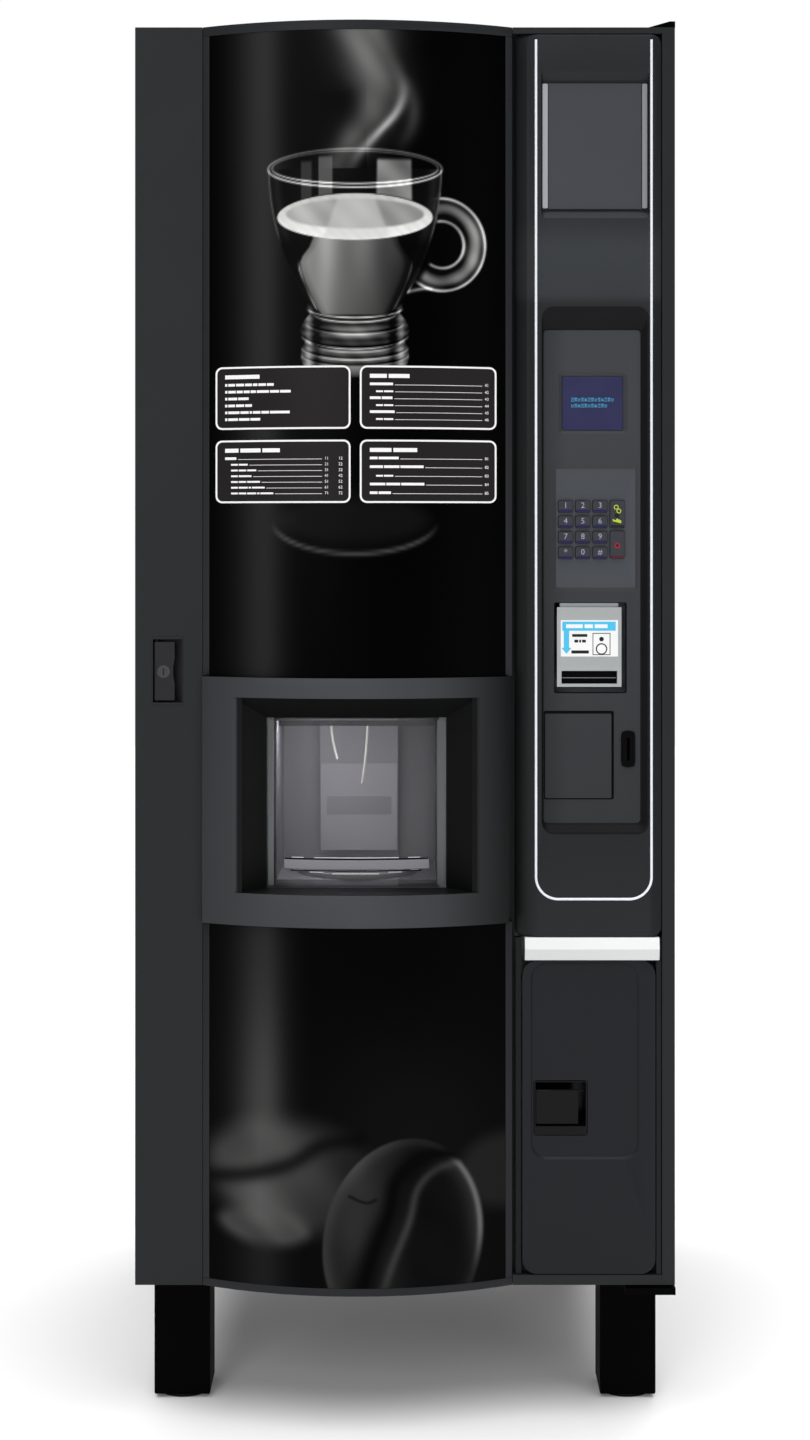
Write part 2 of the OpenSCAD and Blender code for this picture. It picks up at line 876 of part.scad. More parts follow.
module lock_handle() {
    color("#111214")
        difference() {
            union() {
                translate([handle_axis[0], handle_axis[1], handle_z[0]])
                    cylinder(r = handle_r, h = handle_z[1] - handle_z[0]);
                block([handle_axis[0], handle_x1], [handle_axis[1] - handle_r, handle_axis[1] + handle_r],
                    handle_z);
                translate([handle_axis[0], handle_axis[1], pocket_z[0] + 1.2])
                    cylinder(r = 1.5, h = pocket_z[1] - pocket_z[0] - 2.4);
            }
            translate([lock_c[0], handle_axis[1] - handle_r - 1, lock_c[1]])
                rotate([-90, 0, 0])
                    cylinder(r = lock_r + hinge_gap, h = 2 * handle_r + 2);
            // finger hollow along the free edge
            translate([handle_x1 + 58, handle_axis[1] - handle_r - 1, (handle_z[0] + handle_z[1]) / 2])
                rotate([-90, 0, 0])
                    cylinder(r = 60, h = 2 * handle_r + 2, $fn = 120);
        }
}

module lock_cylinder() {
    color("#8f9194")
        translate([lock_c[0], handle_axis[1] - handle_r - 0.6, lock_c[1]])
            rotate([-90, 0, 0])
                difference() {
                    cylinder(r = lock_r, h = 2 * handle_r + 3);
                    translate([-1, -4.2, -1])
                        cube([2, 8.4, 5]);
                }
}

module latch_bar() {
    rod = 5;
    color("#9a9da1") {
        translate([latch_c[0], latch_c[1], 260])
            cylinder(r = rod, h = 1500);
        for (z = [325, 1005, 1685])
            block([latch_c[0] - 3, latch_c[0] + 3], [latch_c[1], door_back_y + 1.5], [z, z + 20]);
    }
}

cabinet_left_side();
cabinet_right_side();
cabinet_back();
cabinet_top();
cabinet_floor();
legs();
levelling_feet();
hinge_plates();
inner_frame();
ingredient_canisters();
auger_left();
auger_middle();
auger_right();
drive_motors();
mixing_bowls();
water_tank();
brewer_body();
brewer_piston();
cup_turret();
cup_station();
drip_grille();
waste_bucket();
rear_inlets();
door_frame();
door_liner();
graphic_surround();
graphic_panel_upper();
graphic_panel_lower();
delivery_bezel();
delivery_window();
control_fascia();
info_panel();
control_module();
display_window();
bill_validator();
reader_cover();
coin_slot();
light_bar();
lower_panel();
coin_return_cup();
coin_return_flap();
lock_pocket();
lock_handle();
lock_cylinder();
latch_bar();
coin_changer();
number_key(0, 0);  // key_1
number_key(1, 0);  // key_2
number_key(2, 0);  // key_3
number_key(0, 1);  // key_4
number_key(1, 1);  // key_5
number_key(2, 1);  // key_6
number_key(0, 2);  // key_7
number_key(1, 2);  // key_8
number_key(2, 2);  // key_9
number_key(0, 3);  // key_star
number_key(1, 3);  // key_0
number_key(2, 3);  // key_hash
key_cap([tall_key_x, tall_key_z[0]], tall_key_size);  // key_coin_return
key_cap([tall_key_x, tall_key_z[1]], tall_key_size);  // key_cancel
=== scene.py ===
"""Looks of the hot drink vending machine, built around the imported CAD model. Lengths are in mm."""
import math

import bmesh
import bpy
import numpy as np
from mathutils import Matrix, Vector
from mathutils.geometry import delaunay_2d_cdt


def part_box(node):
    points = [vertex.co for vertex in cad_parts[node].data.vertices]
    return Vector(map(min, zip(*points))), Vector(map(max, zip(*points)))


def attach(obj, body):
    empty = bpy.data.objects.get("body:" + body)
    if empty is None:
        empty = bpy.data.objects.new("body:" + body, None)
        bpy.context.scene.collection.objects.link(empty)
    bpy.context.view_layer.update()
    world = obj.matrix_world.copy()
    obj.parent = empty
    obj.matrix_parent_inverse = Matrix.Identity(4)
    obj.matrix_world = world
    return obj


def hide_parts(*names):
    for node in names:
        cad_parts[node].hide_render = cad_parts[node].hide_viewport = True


MM = 0.001

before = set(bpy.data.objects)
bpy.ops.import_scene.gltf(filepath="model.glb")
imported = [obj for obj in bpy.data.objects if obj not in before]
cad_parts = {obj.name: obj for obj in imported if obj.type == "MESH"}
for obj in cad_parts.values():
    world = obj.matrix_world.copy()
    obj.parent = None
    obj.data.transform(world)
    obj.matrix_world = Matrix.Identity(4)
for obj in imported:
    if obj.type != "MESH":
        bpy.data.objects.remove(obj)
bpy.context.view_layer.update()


# ---------------------------------------------------------------- places from the frame

def box_mm(node):
    """Lowest and highest corner of a CAD node, in mm."""
    low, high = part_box(node)
    return [v / MM for v in low], [v / MM for v in high]


column_low, column_high = box_mm("control_fascia")
panel_low, panel_high = box_mm("graphic_panel_upper")
foot_low, foot_high = box_mm("graphic_panel_lower")
window_low, window_high = box_mm("delivery_window")
station_low, station_high = box_mm("cup_station")
bezel_low = box_mm("delivery_bezel")[0]
surround_low, surround_high = box_mm("graphic_surround")

FRONT = column_low[1]                      # flat front plane of the door
BOW_X = (surround_low[0] + surround_high[0]) / 2
BOW_W = surround_high[0] - surround_low[0]
BOW_RISE = FRONT - surround_low[1]
BOW_R = ((BOW_W / 2) ** 2 + BOW_RISE ** 2) / (2 * BOW_RISE)
BOW_CY = surround_low[1] + BOW_R
PANEL_R = BOW_CY - panel_low[1]            # outer radius of the graphic panels


def bow_y(x, lift=0.0):
    """y of the printed panels' face at x, raised by lift towards the front."""
    return BOW_CY - np.sqrt((PANEL_R + lift) ** 2 - (np.asarray(x, float) - BOW_X) ** 2)


# ---------------------------------------------------------------- materials

GRAIN_DEPTH = 0.0002                       # in metres
ROUGH_SPREAD = 0.06                        # how far the roughness strays to each side


def srgb(*levels):
    """Linear colour from display levels of 0 to 255."""
    return tuple(((v / 255 + 0.055) / 1.055) ** 2.4 if v > 10 else v / 255 / 12.92
                 for v in levels) + (1.0,)


class Material:
    """A Principled material with helpers for procedural detail in object space."""

    def __init__(self, name, colour, rough, metallic=0.0, specular=0.5):
        self.mat = bpy.data.materials.new(name)
        self.mat.use_nodes = True
        self.tree = self.mat.node_tree
        self.bsdf = self.tree.nodes["Principled BSDF"]
        self.colour = colour
        self.rough = rough
        self.put("Base Color", colour)
        self.put("Roughness", rough)
        self.put("Metallic", metallic)
        self.put("Specular IOR Level", specular)
        self.coords = self.node("TexCoord").outputs["Object"]
        self.normal = None

    def put(self, socket, value):
        self.bsdf.inputs[socket].default_value = value
        return self

    def link(self, a, b):
        self.tree.links.new(a, b)

    def node(self, kind, **settings):
        """Adds a shader node; an input of the node is set by its name."""
        made = self.tree.nodes.new("ShaderNode" + kind)
        for socket, value in settings.items():
            made.inputs[socket.replace("_", " ")].default_value = value
        return made

    def noise(self, scale, detail, stretch):
        mapping = self.node("Mapping", Scale=stretch)
        self.link(self.coords, mapping.inputs["Vector"])
        tex = self.node("TexNoise", Scale=scale, Detail=detail)
        self.link(mapping.outputs["Vector"], tex.inputs["Vector"])
        return tex.outputs["Fac"]

    def grain(self, scale, strength, stretch=(1, 1, 1)):
        """Fine relief; a second call adds to the first."""
        bump = self.node("Bump", Strength=strength, Distance=GRAIN_DEPTH)
        self.link(self.noise(scale, 3.0, stretch), bump.inputs["Height"])
        if self.normal:
            self.link(self.normal, bump.inputs["Normal"])
        self.normal = bump.outputs["Normal"]
        self.link(self.normal, self.bsdf.inputs["Normal"])
        return self

    def mottle(self, scale, amount, stretch=(1, 1, 1)):
        """Slow change of colour and of roughness."""
        fac = self.noise(scale, 4.0, stretch)
        mix = self.node("Mix")
        mix.data_type = "RGBA"
        dark = [c * (1 - amount) for c in self.colour[:3]] + [1.0]
        light = [min(1.0, c * (1 + amount)) for c in self.colour[:3]] + [1.0]
        mix.inputs["A"].default_value = dark
        mix.inputs["B"].default_value = light
        self.link(fac, mix.inputs["Factor"])
        self.link(mix.outputs["Result"], self.bsdf.inputs["Base Color"])
        ramp = self.node("MapRange", To_Min=max(0.03, self.rough - ROUGH_SPREAD),
                         To_Max=min(1.0, self.rough + ROUGH_SPREAD))
        self.link(self.noise(scale * 2.7, 2.0, stretch), ramp.inputs["Value"])
        self.link(ramp.outputs["Result"], self.bsdf.inputs["Roughness"])
        return self

    def printed(self, attribute):
        """Base colour comes from the mesh's own colour attribute."""
        node = self.node("VertexColor")
        node.layer_name = attribute
        self.link(node.outputs["Color"], self.bsdf.inputs["Base Color"])
        return self

    def axis(self, name):
        split = self.node("SeparateXYZ")
        self.link(self.coords, split.inputs["Vector"])
        return split.outputs[name]

    def base_socket(self):
        """What feeds the base colour now, so that a later step can change it."""
        links = self.bsdf.inputs["Base Color"].links
        return links[0].from_socket if links else None

    def shade(self, fac, stops):
        """Multiplies the base colour by a ramp of (place, level) over the value fac."""
        ramp = self.node("ValToRGB")
        low, high = stops[0][0], stops[-1][0]
        span = self.node("MapRange", From_Min=low, From_Max=high)
        self.link(fac, span.inputs["Value"])
        self.link(span.outputs["Result"], ramp.inputs["Fac"])
        elements = ramp.color_ramp.elements
        while len(elements) < len(stops):
            elements.new(0.5)
        for element, (place, level) in zip(elements, stops):
            element.position = (place - low) / (high - low)
            element.color = (level, level, level, 1)
        mix = self.node("Mix", Factor=1.0)
        mix.data_type = "RGBA"
        mix.blend_type = "MULTIPLY"
        self.link(self.base_socket(), mix.inputs["A"])
        self.link(ramp.outputs["Color"], mix.inputs["B"])
        self.link(mix.outputs["Result"], self.bsdf.inputs["Base Color"])
        return self

    def bow_distance(self):
        """Distance from the upright axis of the bowed front, in metres."""
        vector = self.coords
        for operation, other in [("SUBTRACT", (BOW_X * MM, BOW_CY * MM, 0)), ("MULTIPLY", (1, 1, 0)),
                                 ("LENGTH", None)]:
            step = self.node("VectorMath")
            step.operation = operation
            if other:
                step.inputs[1].default_value = other
            self.link(vector, step.inputs[0])
            vector = step.outputs[0]
        return step.outputs["Value"]

    def glow(self, colour, strength):
        self.put("Emission Color", colour)
        self.put("Emission Strength", strength)
        return self


def plastic(name, levels, rough, specular=0.16, grain=0.10):
    return Material(name, srgb(*levels), rough, 0.0, specular).mottle(7, 0.07).grain(1400, grain)


def metal(name, levels, rough, metallic, stretch=(1, 1, 1)):
    coat = Material(name, srgb(*levels), rough, metallic)
    return coat.mottle(12, 0.12, stretch).grain(700, 0.15, stretch)


STEEL = Material("powder_coat", srgb(30, 32, 33), 0.5, 0.0, 0.16)
STEEL.mottle(3, 0.06).grain(900, 0.22).grain(90, 0.06)
CABINET = Material("cabinet_coat", srgb(30, 31, 33), 0.55, 0.0, 0.16).mottle(2, 0.08).grain(700, 0.28)
LEG = Material("leg_coat", srgb(3, 3, 3), 0.5, 0.0, 0.02).mottle(6, 0.10).grain(800, 0.2)
FASCIA = plastic("fascia_moulding", (51, 54, 57), 0.42)
MODULE = plastic("module_moulding", (57, 59, 62), 0.5)
KEYPAD = plastic("keypad_plate", (66, 69, 74), 0.5)
BEZEL = plastic("bezel_moulding", (62, 64, 67), 0.45, 0.10, 0.16)
# Painted shade: a dark material for the walls of the recesses round the module, the keys, the banknote
# reader and the cover.
RECESS_SHADE = plastic("recess_painted_shade", (18, 18, 20), 0.6, 0.1)
SURROUND = plastic("surround_moulding", (30, 31, 33), 0.45)
LOWER = plastic("lower_moulding", (23, 24, 28), 0.45)
INFO = plastic("info_print", (62, 63, 69), 0.5, grain=0.05)
PRINT = Material("printed_gloss", srgb(8, 8, 8), 0.30, 0.0, 0.02).printed("ink").grain(30, 0.02)
LABEL = plastic("label_film", (34, 31, 32), 0.35, 0.05, 0.03)
# White for print and the augers, and for the painted highlights on the window grip.
WHITE = plastic("white_print", (232, 232, 232), 0.45, grain=0.02)
# The trim line glows faintly though it holds no lamp: painted light.
TRIM = plastic("trim_line_painted_glow", (225, 227, 233), 0.25, 0.4, 0.02).glow(srgb(235, 238, 245), 0.04)
LIGHT = plastic("light_bar_opal", (223, 225, 224), 0.35, 0.1, 0.03)
SILVER = metal("satin_strip", (159, 162, 165), 0.4, 0.2, (1, 1, 0.06))
ALLOY = metal("brushed_plate", (168, 172, 173), 0.36, 0.4, (0.06, 1, 1))
ZINC = metal("zinc_sheet", (150, 153, 156), 0.42, 0.6)
STAINLESS = metal("stainless", (182, 184, 186), 0.3, 0.9, (0.06, 1, 1))
LOCK = plastic("lock_moulding", (26, 26, 29), 0.42, 0.2)
LOCK_METAL = metal("lock_face", (56, 57, 60), 0.3, 0.6)
GLOSS = plastic("gloss_black", (7, 7, 8), 0.2, 0.12, 0.02)
BLACK = plastic("deep_black", (4, 4, 5), 0.7, 0.05)
SCREEN = Material("screen_glass", srgb(42, 42, 70), 0.14, 0.0, 0.3)
SCREEN.mottle(30, 0.25).glow(srgb(40, 38, 84), 0.22)
DOTS = Material("screen_dots", srgb(60, 150, 185), 0.4).mottle(90, 0.1).glow(srgb(50, 160, 205), 0.45)
SKY = plastic("label_blue", (75, 185, 225), 0.45, grain=0.02)
INK = plastic("label_ink", (25, 25, 28), 0.5, grain=0.02)
GREEN = plastic("icon_green", (178, 192, 50), 0.45, grain=0.02)
RED = plastic("icon_red", (150, 30, 38), 0.45, grain=0.02)
NAVY = plastic("key_lower_edge", (26, 26, 74), 0.45, grain=0.05)
MAROON = plastic("cancel_lower_edge", (88, 16, 24), 0.45, grain=0.05)
KEY = plastic("key_moulding", (52, 54, 60), 0.42, grain=0.08)
DIGIT = plastic("key_digit", (150, 153, 172), 0.5, grain=0.02)
NATURAL = plastic("natural_plastic", (205, 205, 200), 0.4, grain=0.06)
GREY = plastic("station_moulding", (122, 122, 128), 0.55, grain=0.03)
PALE_GREY = plastic("station_insert", (140, 139, 145), 0.5, grain=0.08)
GRILLE = plastic("grille_moulding", (120, 121, 124), 0.45, grain=0.08)
DARK = plastic("dark_moulding", (48, 50, 54), 0.5)
RUBBER = plastic("rubber", (20, 20, 20), 0.8, 0.1, 0.3)
BRASS = metal("brass", (176, 141, 79), 0.3, 0.9)
GUIDE = plastic("window_guide", (92, 93, 94), 0.4, grain=0.05)
SPOUT = plastic("spout", (170, 168, 162), 0.4, 0.3, 0.02)
WINDOW = Material("window_clear", srgb(150, 150, 155), 0.08, 0.0, 0.3).grain(25, 0.004)
WINDOW.put("Alpha", 0.10)
# Painted light and shade on the column front: dark below the module's top, lightest between the module and
# the information panel, darker again up to the top, and darker at the left and right edges.
FASCIA.shade(FASCIA.axis("Z"), [(0.60, 0.37), (1.25, 0.37), (1.466, 0.42), (1.478, 0.92), (1.54, 1.0),
                                (1.575, 0.62), (1.777, 0.42), (1.80, 0.50), (1.82, 0.55)])
FASCIA.shade(FASCIA.axis("X"), [(0.145, 0.25), (0.160, 0.40), (0.172, 0.80), (0.176, 1.0), (0.321, 1.0),
                                (0.326, 0.60), (0.338, 0.45)])
# Painted shade on the module face: darker towards the bottom and at its left edge.
MODULE.shade(MODULE.axis("Z"), [(0.78, 0.60), (1.05, 0.75), (1.30, 0.95), (1.43, 1.0)])
MODULE.shade(MODULE.axis("X"), [(0.178, 0.70), (0.196, 0.78), (0.214, 1.0)])
# Painted shade on the satin metal: darker to the right of x = 0.19 m, most on the right-hand strip of the
# information panel.
SILVER.shade(SILVER.axis("X"), [(0.19, 1.0), (0.205, 0.74), (0.29, 0.72), (0.31, 0.66)])
# Painted shade: the light bar is darker below its crease.
LIGHT.shade(LIGHT.axis("Z"), [(0.603, 0.84), (0.6175, 0.84), (0.6182, 1.0), (0.634, 1.0)])
# Painted shade in the cup station: its moulding is a little darker to the left of the insert and much
# darker to the right of it.
GREY.shade(GREY.axis("X"), [(-0.18, 0.82), (-0.121, 0.90), (-0.1205, 1.0), (-0.0095, 0.92), (-0.009, 0.48),
                            (0.05, 0.40)])
BRASS.shade(BRASS.axis("Z"), [(0.27, 1.0), (0.335, 1.0), (0.34, 0.03), (0.41, 0.03)])
BEZEL_R = BOW_CY - bezel_low[1]            # outer radius of the bezel; nearer the axis its walls are dark with painted shade
# Painted light and shade on the bezel: lightest a little left of centre, darker to both sides and darkest
# at the right; its inner walls and soffit get painted shade.
BEZEL.shade(BEZEL.axis("X"), [(-0.259, 0.60), (-0.17, 0.90), (-0.06, 1.05), (0.04, 0.80), (0.10, 0.35),
                              (0.134, 0.10)])
BEZEL.shade(BEZEL.bow_distance(), [(0.380, 0.01), (0.425, 0.05), ((BEZEL_R - 2.2) * MM, 0.10),
                                   ((BEZEL_R - 1.2) * MM, 1.0), (0.480, 1.0)])


# ---------------------------------------------------------------- CAD nodes that stay

def soften(obj, width):
    """Adds a small bevel, width in mm, and returns its modifier."""
    edge = obj.modifiers.new("edge", "BEVEL")
    edge.width = width * MM
    edge.segments = 2
    return edge


def finish_node(node, material, bevel):
    """Gives a CAD node its material and breaks its sharp edges."""
    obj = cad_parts[node]
    obj.data.materials.clear()
    obj.data.materials.append(material.mat)
    if bevel:
        weld = obj.modifiers.new("weld", "WELD")
        weld.merge_threshold = 0.00002
        edge = soften(obj, bevel)
        edge.limit_method = "ANGLE"
        edge.angle_limit = math.radians(35)
        edge.use_clamp_overlap = True


CAD_LOOKS = [
    (CABINET, 0.8, ["cabinet_left_side", "cabinet_right_side", "cabinet_back", "cabinet_top",
                    "cabinet_floor"]),
    (LEG, 2.0, ["legs"]),
    (RUBBER, 0.8, ["levelling_feet"]),
    (LEG, 0.8, ["hinge_plates"]),
    (ZINC, 0.5, ["inner_frame", "latch_bar"]),
    (NATURAL, 0.8, ["ingredient_canisters", "mixing_bowls"]),
    (WHITE, 0, ["auger_left", "auger_middle", "auger_right"]),
    (DARK, 1.0, ["drive_motors", "coin_changer", "brewer_piston", "waste_bucket"]),
    (STAINLESS, 1.0, ["water_tank"]),
    (NATURAL, 1.0, ["brewer_body", "cup_turret"]),
    (GREY, 1.0, ["cup_station"]),
    (GRILLE, 0.6, ["drip_grille"]),
    (BRASS, 0.4, ["rear_inlets"]),
    (STEEL, 1.0, ["door_frame"]),
    (ZINC, 0.5, ["door_liner"]),
    (SURROUND, 0.7, ["graphic_surround"]),
    (WINDOW, 0.3, ["delivery_window"]),
    (LOCK, 0.5, ["lock_pocket", "lock_handle"]),
    (LOCK_METAL, 0.3, ["lock_cylinder"]),
    (GLOSS, 0.4, ["coin_return_cup", "coin_return_flap"]),
    (ALLOY, 0.3, ["bill_validator"]),
    (MODULE, 0.5, ["reader_cover"]),
    (BLACK, 0.3, ["coin_slot"]),
    (LIGHT, 0.4, ["light_bar"]),
    (BEZEL, 1.2, ["delivery_bezel"]),
    (SCREEN, 0.3, ["display_window"]),
    (INFO, 0.4, ["info_panel"]),
]
for look, width, nodes in CAD_LOOKS:
    for node_name in nodes:
        finish_node(node_name, look, width)


# ---------------------------------------------------------------- mesh tools

def linked(name, data):
    """Adds an object with this data to the scene."""
    obj = bpy.data.objects.new(name, data)
    bpy.context.scene.collection.objects.link(obj)
    return obj


def add_object(name, mesh, body, materials, smooth_angle):
    """Adds a mesh that moves with the given body."""
    obj = linked(name, mesh)
    for material in materials:
        mesh.materials.append(material.mat)
    if smooth_angle:
        for poly in mesh.polygons:
            poly.use_smooth = True
        mesh.set_sharp_from_angle(angle=math.radians(smooth_angle))
    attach(obj, body)
    return obj


def mesh_from(verts, faces, name, material_index=None):
    mesh = bpy.data.meshes.new(name)
    mesh.from_pydata([tuple(c * MM for c in v) for v in verts], [], faces)
    if material_index is not None:
        mesh.polygons.foreach_set("material_index", material_index)
    mesh.update()
    return mesh


def curve_mesh(curve):
    """Turns a curve into a mesh and removes the curve."""
    holder = linked(curve.name, curve)
    depsgraph = bpy.context.evaluated_depsgraph_get()
    mesh = bpy.data.meshes.new_from_object(holder.evaluated_get(depsgraph))
    bpy.data.objects.remove(holder)
    bpy.data.curves.remove(curve)
    return mesh


class Shapes:
    """Collects closed slabs, prisms and digits into one mesh with several materials."""

    DIGIT_THICK = 0.2

    def __init__(self):
        self.verts, self.faces, self.index = [], [], []

    def add(self, verts, faces, material):
        start = len(self.verts)
        self.verts += verts
        self.faces += [[i + start for i in f] for f in faces]
        self.index += [material] * len(faces)

    def slab(self, columns, surface, lift, thick, material):
        """Closed slab over columns of (x, low z, high z), laid on surface(x, lift)."""
        verts = []
        for x, low, high in columns:
            front, back = float(surface(x, lift)), float(surface(x, lift - thick))
            verts += [(x, front, low), (x, front, high), (x, back, low), (x, back, high)]
        faces = []
        for i in range(len(columns) - 1):
            a, b = 4 * i, 4 * i + 4
            faces += [[a, b, b + 1, a + 1], [a + 2, a + 3, b + 3, b + 2],
                      [a + 1, b + 1, b + 3, a + 3], [a, a + 2, b + 2, b]]
        last = 4 * (len(columns) - 1)
        faces += [[0, 1, 3, 2], [last, last + 2, last + 3, last + 1]]
        self.add(verts, faces, material)

    def bar(self, x0, x1, z0, z1, surface, lift, material, thick=0.2):
        count = max(1, int((x1 - x0) / 8))
        xs = [x0 + (x1 - x0) * i / count for i in range(count + 1)]
        self.slab([(x, z0, z1) for x in xs], surface, lift, thick, material)

    def rounded_bar(self, x0, x1, z0, z1, r, surface, lift, material, thick):
        corner = [r * (1 - math.cos(math.pi / 2 * i / 6)) for i in range(7)]
        inner = [x0 + r + (x1 - x0 - 2 * r) * i / 16 for i in range(1, 16)]
        xs = [x0 + s for s in corner] + inner + [x1 - s for s in reversed(corner)]
        columns = []
        for x in xs:
            off = max(0.0, x0 + r - x, x - (x1 - r))
            cut = r - math.sqrt(max(0.0, r * r - off * off))
            cut = min(cut, (z1 - z0) / 2 - 0.01)
            columns.append((x, z0 + cut, z1 - cut))
        self.slab(columns, surface, lift, thick, material)

    def disc(self, x, z, r, surface, lift, material, thick=0.3):
        xs = [x - r * math.cos(math.pi * i / 16) for i in range(17)]
        half = [max(0.02, math.sqrt(max(0.0, r * r - (v - x) ** 2))) for v in xs]
        self.slab([(v, z - h, z + h) for v, h in zip(xs, half)], surface, lift, thick, material)

    def digits(self, text, x, z, size, surface, lift, material):
        """Plain numerals or signs, centred on (x, z)."""
        curve = bpy.data.curves.new("glyph", "FONT")
        curve.body = text
        curve.size = size
        curve.align_x = "CENTER"
        curve.align_y = "CENTER"
        curve.resolution_u = 3
        curve.extrude = self.DIGIT_THICK / 2
        glyph = curve_mesh(curve)
        verts = []
        for v in glyph.vertices:
            vx = x + v.co.x
            verts.append((vx, float(surface(vx, lift)) - v.co.z, z + v.co.y))
        self.add(verts, [list(p.vertices) for p in glyph.polygons], material)
        bpy.data.meshes.remove(glyph)

    def build(self, name, body, materials, smooth_angle=None):
        return add_object(name, mesh_from(self.verts, self.faces, name, self.index), body,
                          materials, smooth_angle)


def flat(y):
    """A flat surface facing the front at y, as slab() wants it."""
    return lambda x, lift: y - lift


def rounded(x0, x1, z0, z1, r, n=6):
    """Counter-clockwise rounded rectangle seen from the front, as (x, z) points."""
    points = []
    corners = [(x1 - r, z0 + r, -90), (x1 - r, z1 - r, 0), (x0 + r, z1 - r, 90), (x0 + r, z0 + r, 180)]
    for cx, cz, start in corners:
        for i in range(n + 1):
            a = math.radians(start + 90 * i / n)
            points.append((cx + r * math.cos(a), cz + r * math.sin(a)))
    return points


def inside_ring(x, z, ring):
    """Even-odd test of a point against a closed ring."""
    odd = False
    for (ax, az), (bx, bz) in zip(ring, ring[1:] + ring[:1]):
        if (az > z) != (bz > z) and x < ax + (z - az) * (bx - ax) / (bz - az):
            odd = not odd
    return odd


class Pocket:
    """Rounded recess: its rectangle at the surface, wall slopes (left, right, bottom, top) and depth."""

    def __init__(self, rect, r, slopes, depth, material=0, inner=(), open_floor=False, floor_r=None,
                 floor_material=None):
        self.rect, self.r, self.slopes, self.depth = rect, r, slopes, depth
        self.material, self.inner, self.open_floor = material, list(inner), open_floor
        self.floor_r = r if floor_r is None else floor_r
        self.floor_material = material if floor_material is None else floor_material


class Moulding:
    """Thin moulded front with pockets. Walls are bridged between loops and floors are filled."""

    LIP = 0.9

    def __init__(self):
        self.bm = bmesh.new()

    def loop(self, rect, r, y):
        return [self.bm.verts.new((x * MM, y * MM, z * MM)) for x, z in rounded(*rect, r)]

    def bridge(self, a, b, material):
        for i in range(len(a)):
            j = (i + 1) % len(a)
            face = self.bm.faces.new((a[i], a[j], b[j], b[i]))
            face.material_index = material

    def stack(self, loops, material):
        """Bridges each loop to the next one."""
        for a, b in zip(loops, loops[1:]):
            self.bridge(a, b, material)

    def fill(self, outer, holes, material):
        verts, edges, rings = [], [], []
        for ring in [outer] + holes:
            start = len(verts)
            verts += ring
            edges += [(start + i, start + (i + 1) % len(ring)) for i in range(len(ring))]
            rings.append([(v.co.x, v.co.z) for v in ring])
        flat_points = [Vector((v.co.x, v.co.z)) * 10 for v in verts]
        made = delaunay_2d_cdt(flat_points, edges, [list(range(len(outer)))], 1, 1e-7)
        for tri in made[2]:
            corners = [verts[made[3][i][0]] for i in tri]
            x = sum(v.co.x for v in corners) / 3
            z = sum(v.co.z for v in corners) / 3
            if any(inside_ring(x, z, ring) for ring in rings[1:]):
                continue
            self.bm.faces.new(corners).material_index = material

    def pocket(self, spec, y):
        """Cuts one pocket into the plane y and returns its first loop."""
        x0, x1, z0, z1 = spec.rect
        left, right, low, high = spec.slopes
        lip = min(self.LIP, spec.depth / 2)
        stations = [(0.0, 0.0), (0.12, 0.3 * lip / spec.depth), (0.25, 0.45 / max(spec.depth, 1)),
                    (0.9, 1 - 0.25 / max(spec.depth, 1)), (1.0, 1.0)]
        loops = []
        for share, deep in stations:
            rect = (x0 + left * share, x1 - right * share, z0 + low * share, z1 - high * share)
            r = spec.r + (spec.floor_r - spec.r) * share
            loops.append(self.loop(rect, max(0.3, r), y + spec.depth * min(1.0, deep)))
        self.stack(loops, spec.material)
        floor_y = y + spec.depth
        inner = [self.pocket(p, floor_y) for p in spec.inner]
        if not spec.open_floor:
            self.fill(loops[-1], inner, spec.floor_material)
        return loops[0]

    def build(self, name, body, materials, thick=2.0):
        bmesh.ops.recalc_face_normals(self.bm, faces=self.bm.faces)
        self.bm.faces.ensure_lookup_table()
        total = sum((f.normal * f.calc_area() for f in self.bm.faces), Vector())
        if total.y > 0:
            bmesh.ops.reverse_faces(self.bm, faces=self.bm.faces)
        mesh = bpy.data.meshes.new(name)
        self.bm.to_mesh(mesh)
        self.bm.free()
        obj = add_object(name, mesh, body, materials, 28)
        shell = obj.modifiers.new("wall", "SOLIDIFY")
        shell.thickness = thick * MM
        shell.offset = -1
        return obj


# ---------------------------------------------------------------- printed artwork

def smooth(a, b, x):
    t = np.clip((x - a) / (b - a), 0, 1)
    return t * t * (3 - 2 * t)


def ellipse(x, z, cx, cz, a, b, turn=0.0):
    """Signed distance, near the line, to an ellipse turned by turn degrees."""
    c, s = math.cos(math.radians(turn)), math.sin(math.radians(turn))
    u = (x - cx) * c + (z - cz) * s
    v = -(x - cx) * s + (z - cz) * c
    q = np.sqrt((u / a) ** 2 + (v / b) ** 2) + 1e-6
    slope = np.sqrt((u / a ** 2) ** 2 + (v / b ** 2) ** 2) / q + 1e-6
    return (q - 1) / slope


def line(d, width):
    """A soft stroke of the given half width around distance 0."""
    return np.exp(-(d / width) ** 2)


def path_distance(x, z, points):
    """Distance to a polyline and the share of the way along it."""
    best = np.full(x.shape, 1e9)
    along = np.zeros(x.shape)
    count = len(points) - 1
    for i in range(count):
        (ax, az), (bx, bz) = points[i], points[i + 1]
        dx, dz = bx - ax, bz - az
        t = np.clip(((x - ax) * dx + (z - az) * dz) / (dx * dx + dz * dz), 0, 1)
        d = np.hypot(x - ax - t * dx, z - az - t * dz)
        near = d < best
        best = np.where(near, d, best)
        along = np.where(near, (i + t) / count, along)
    return best, along


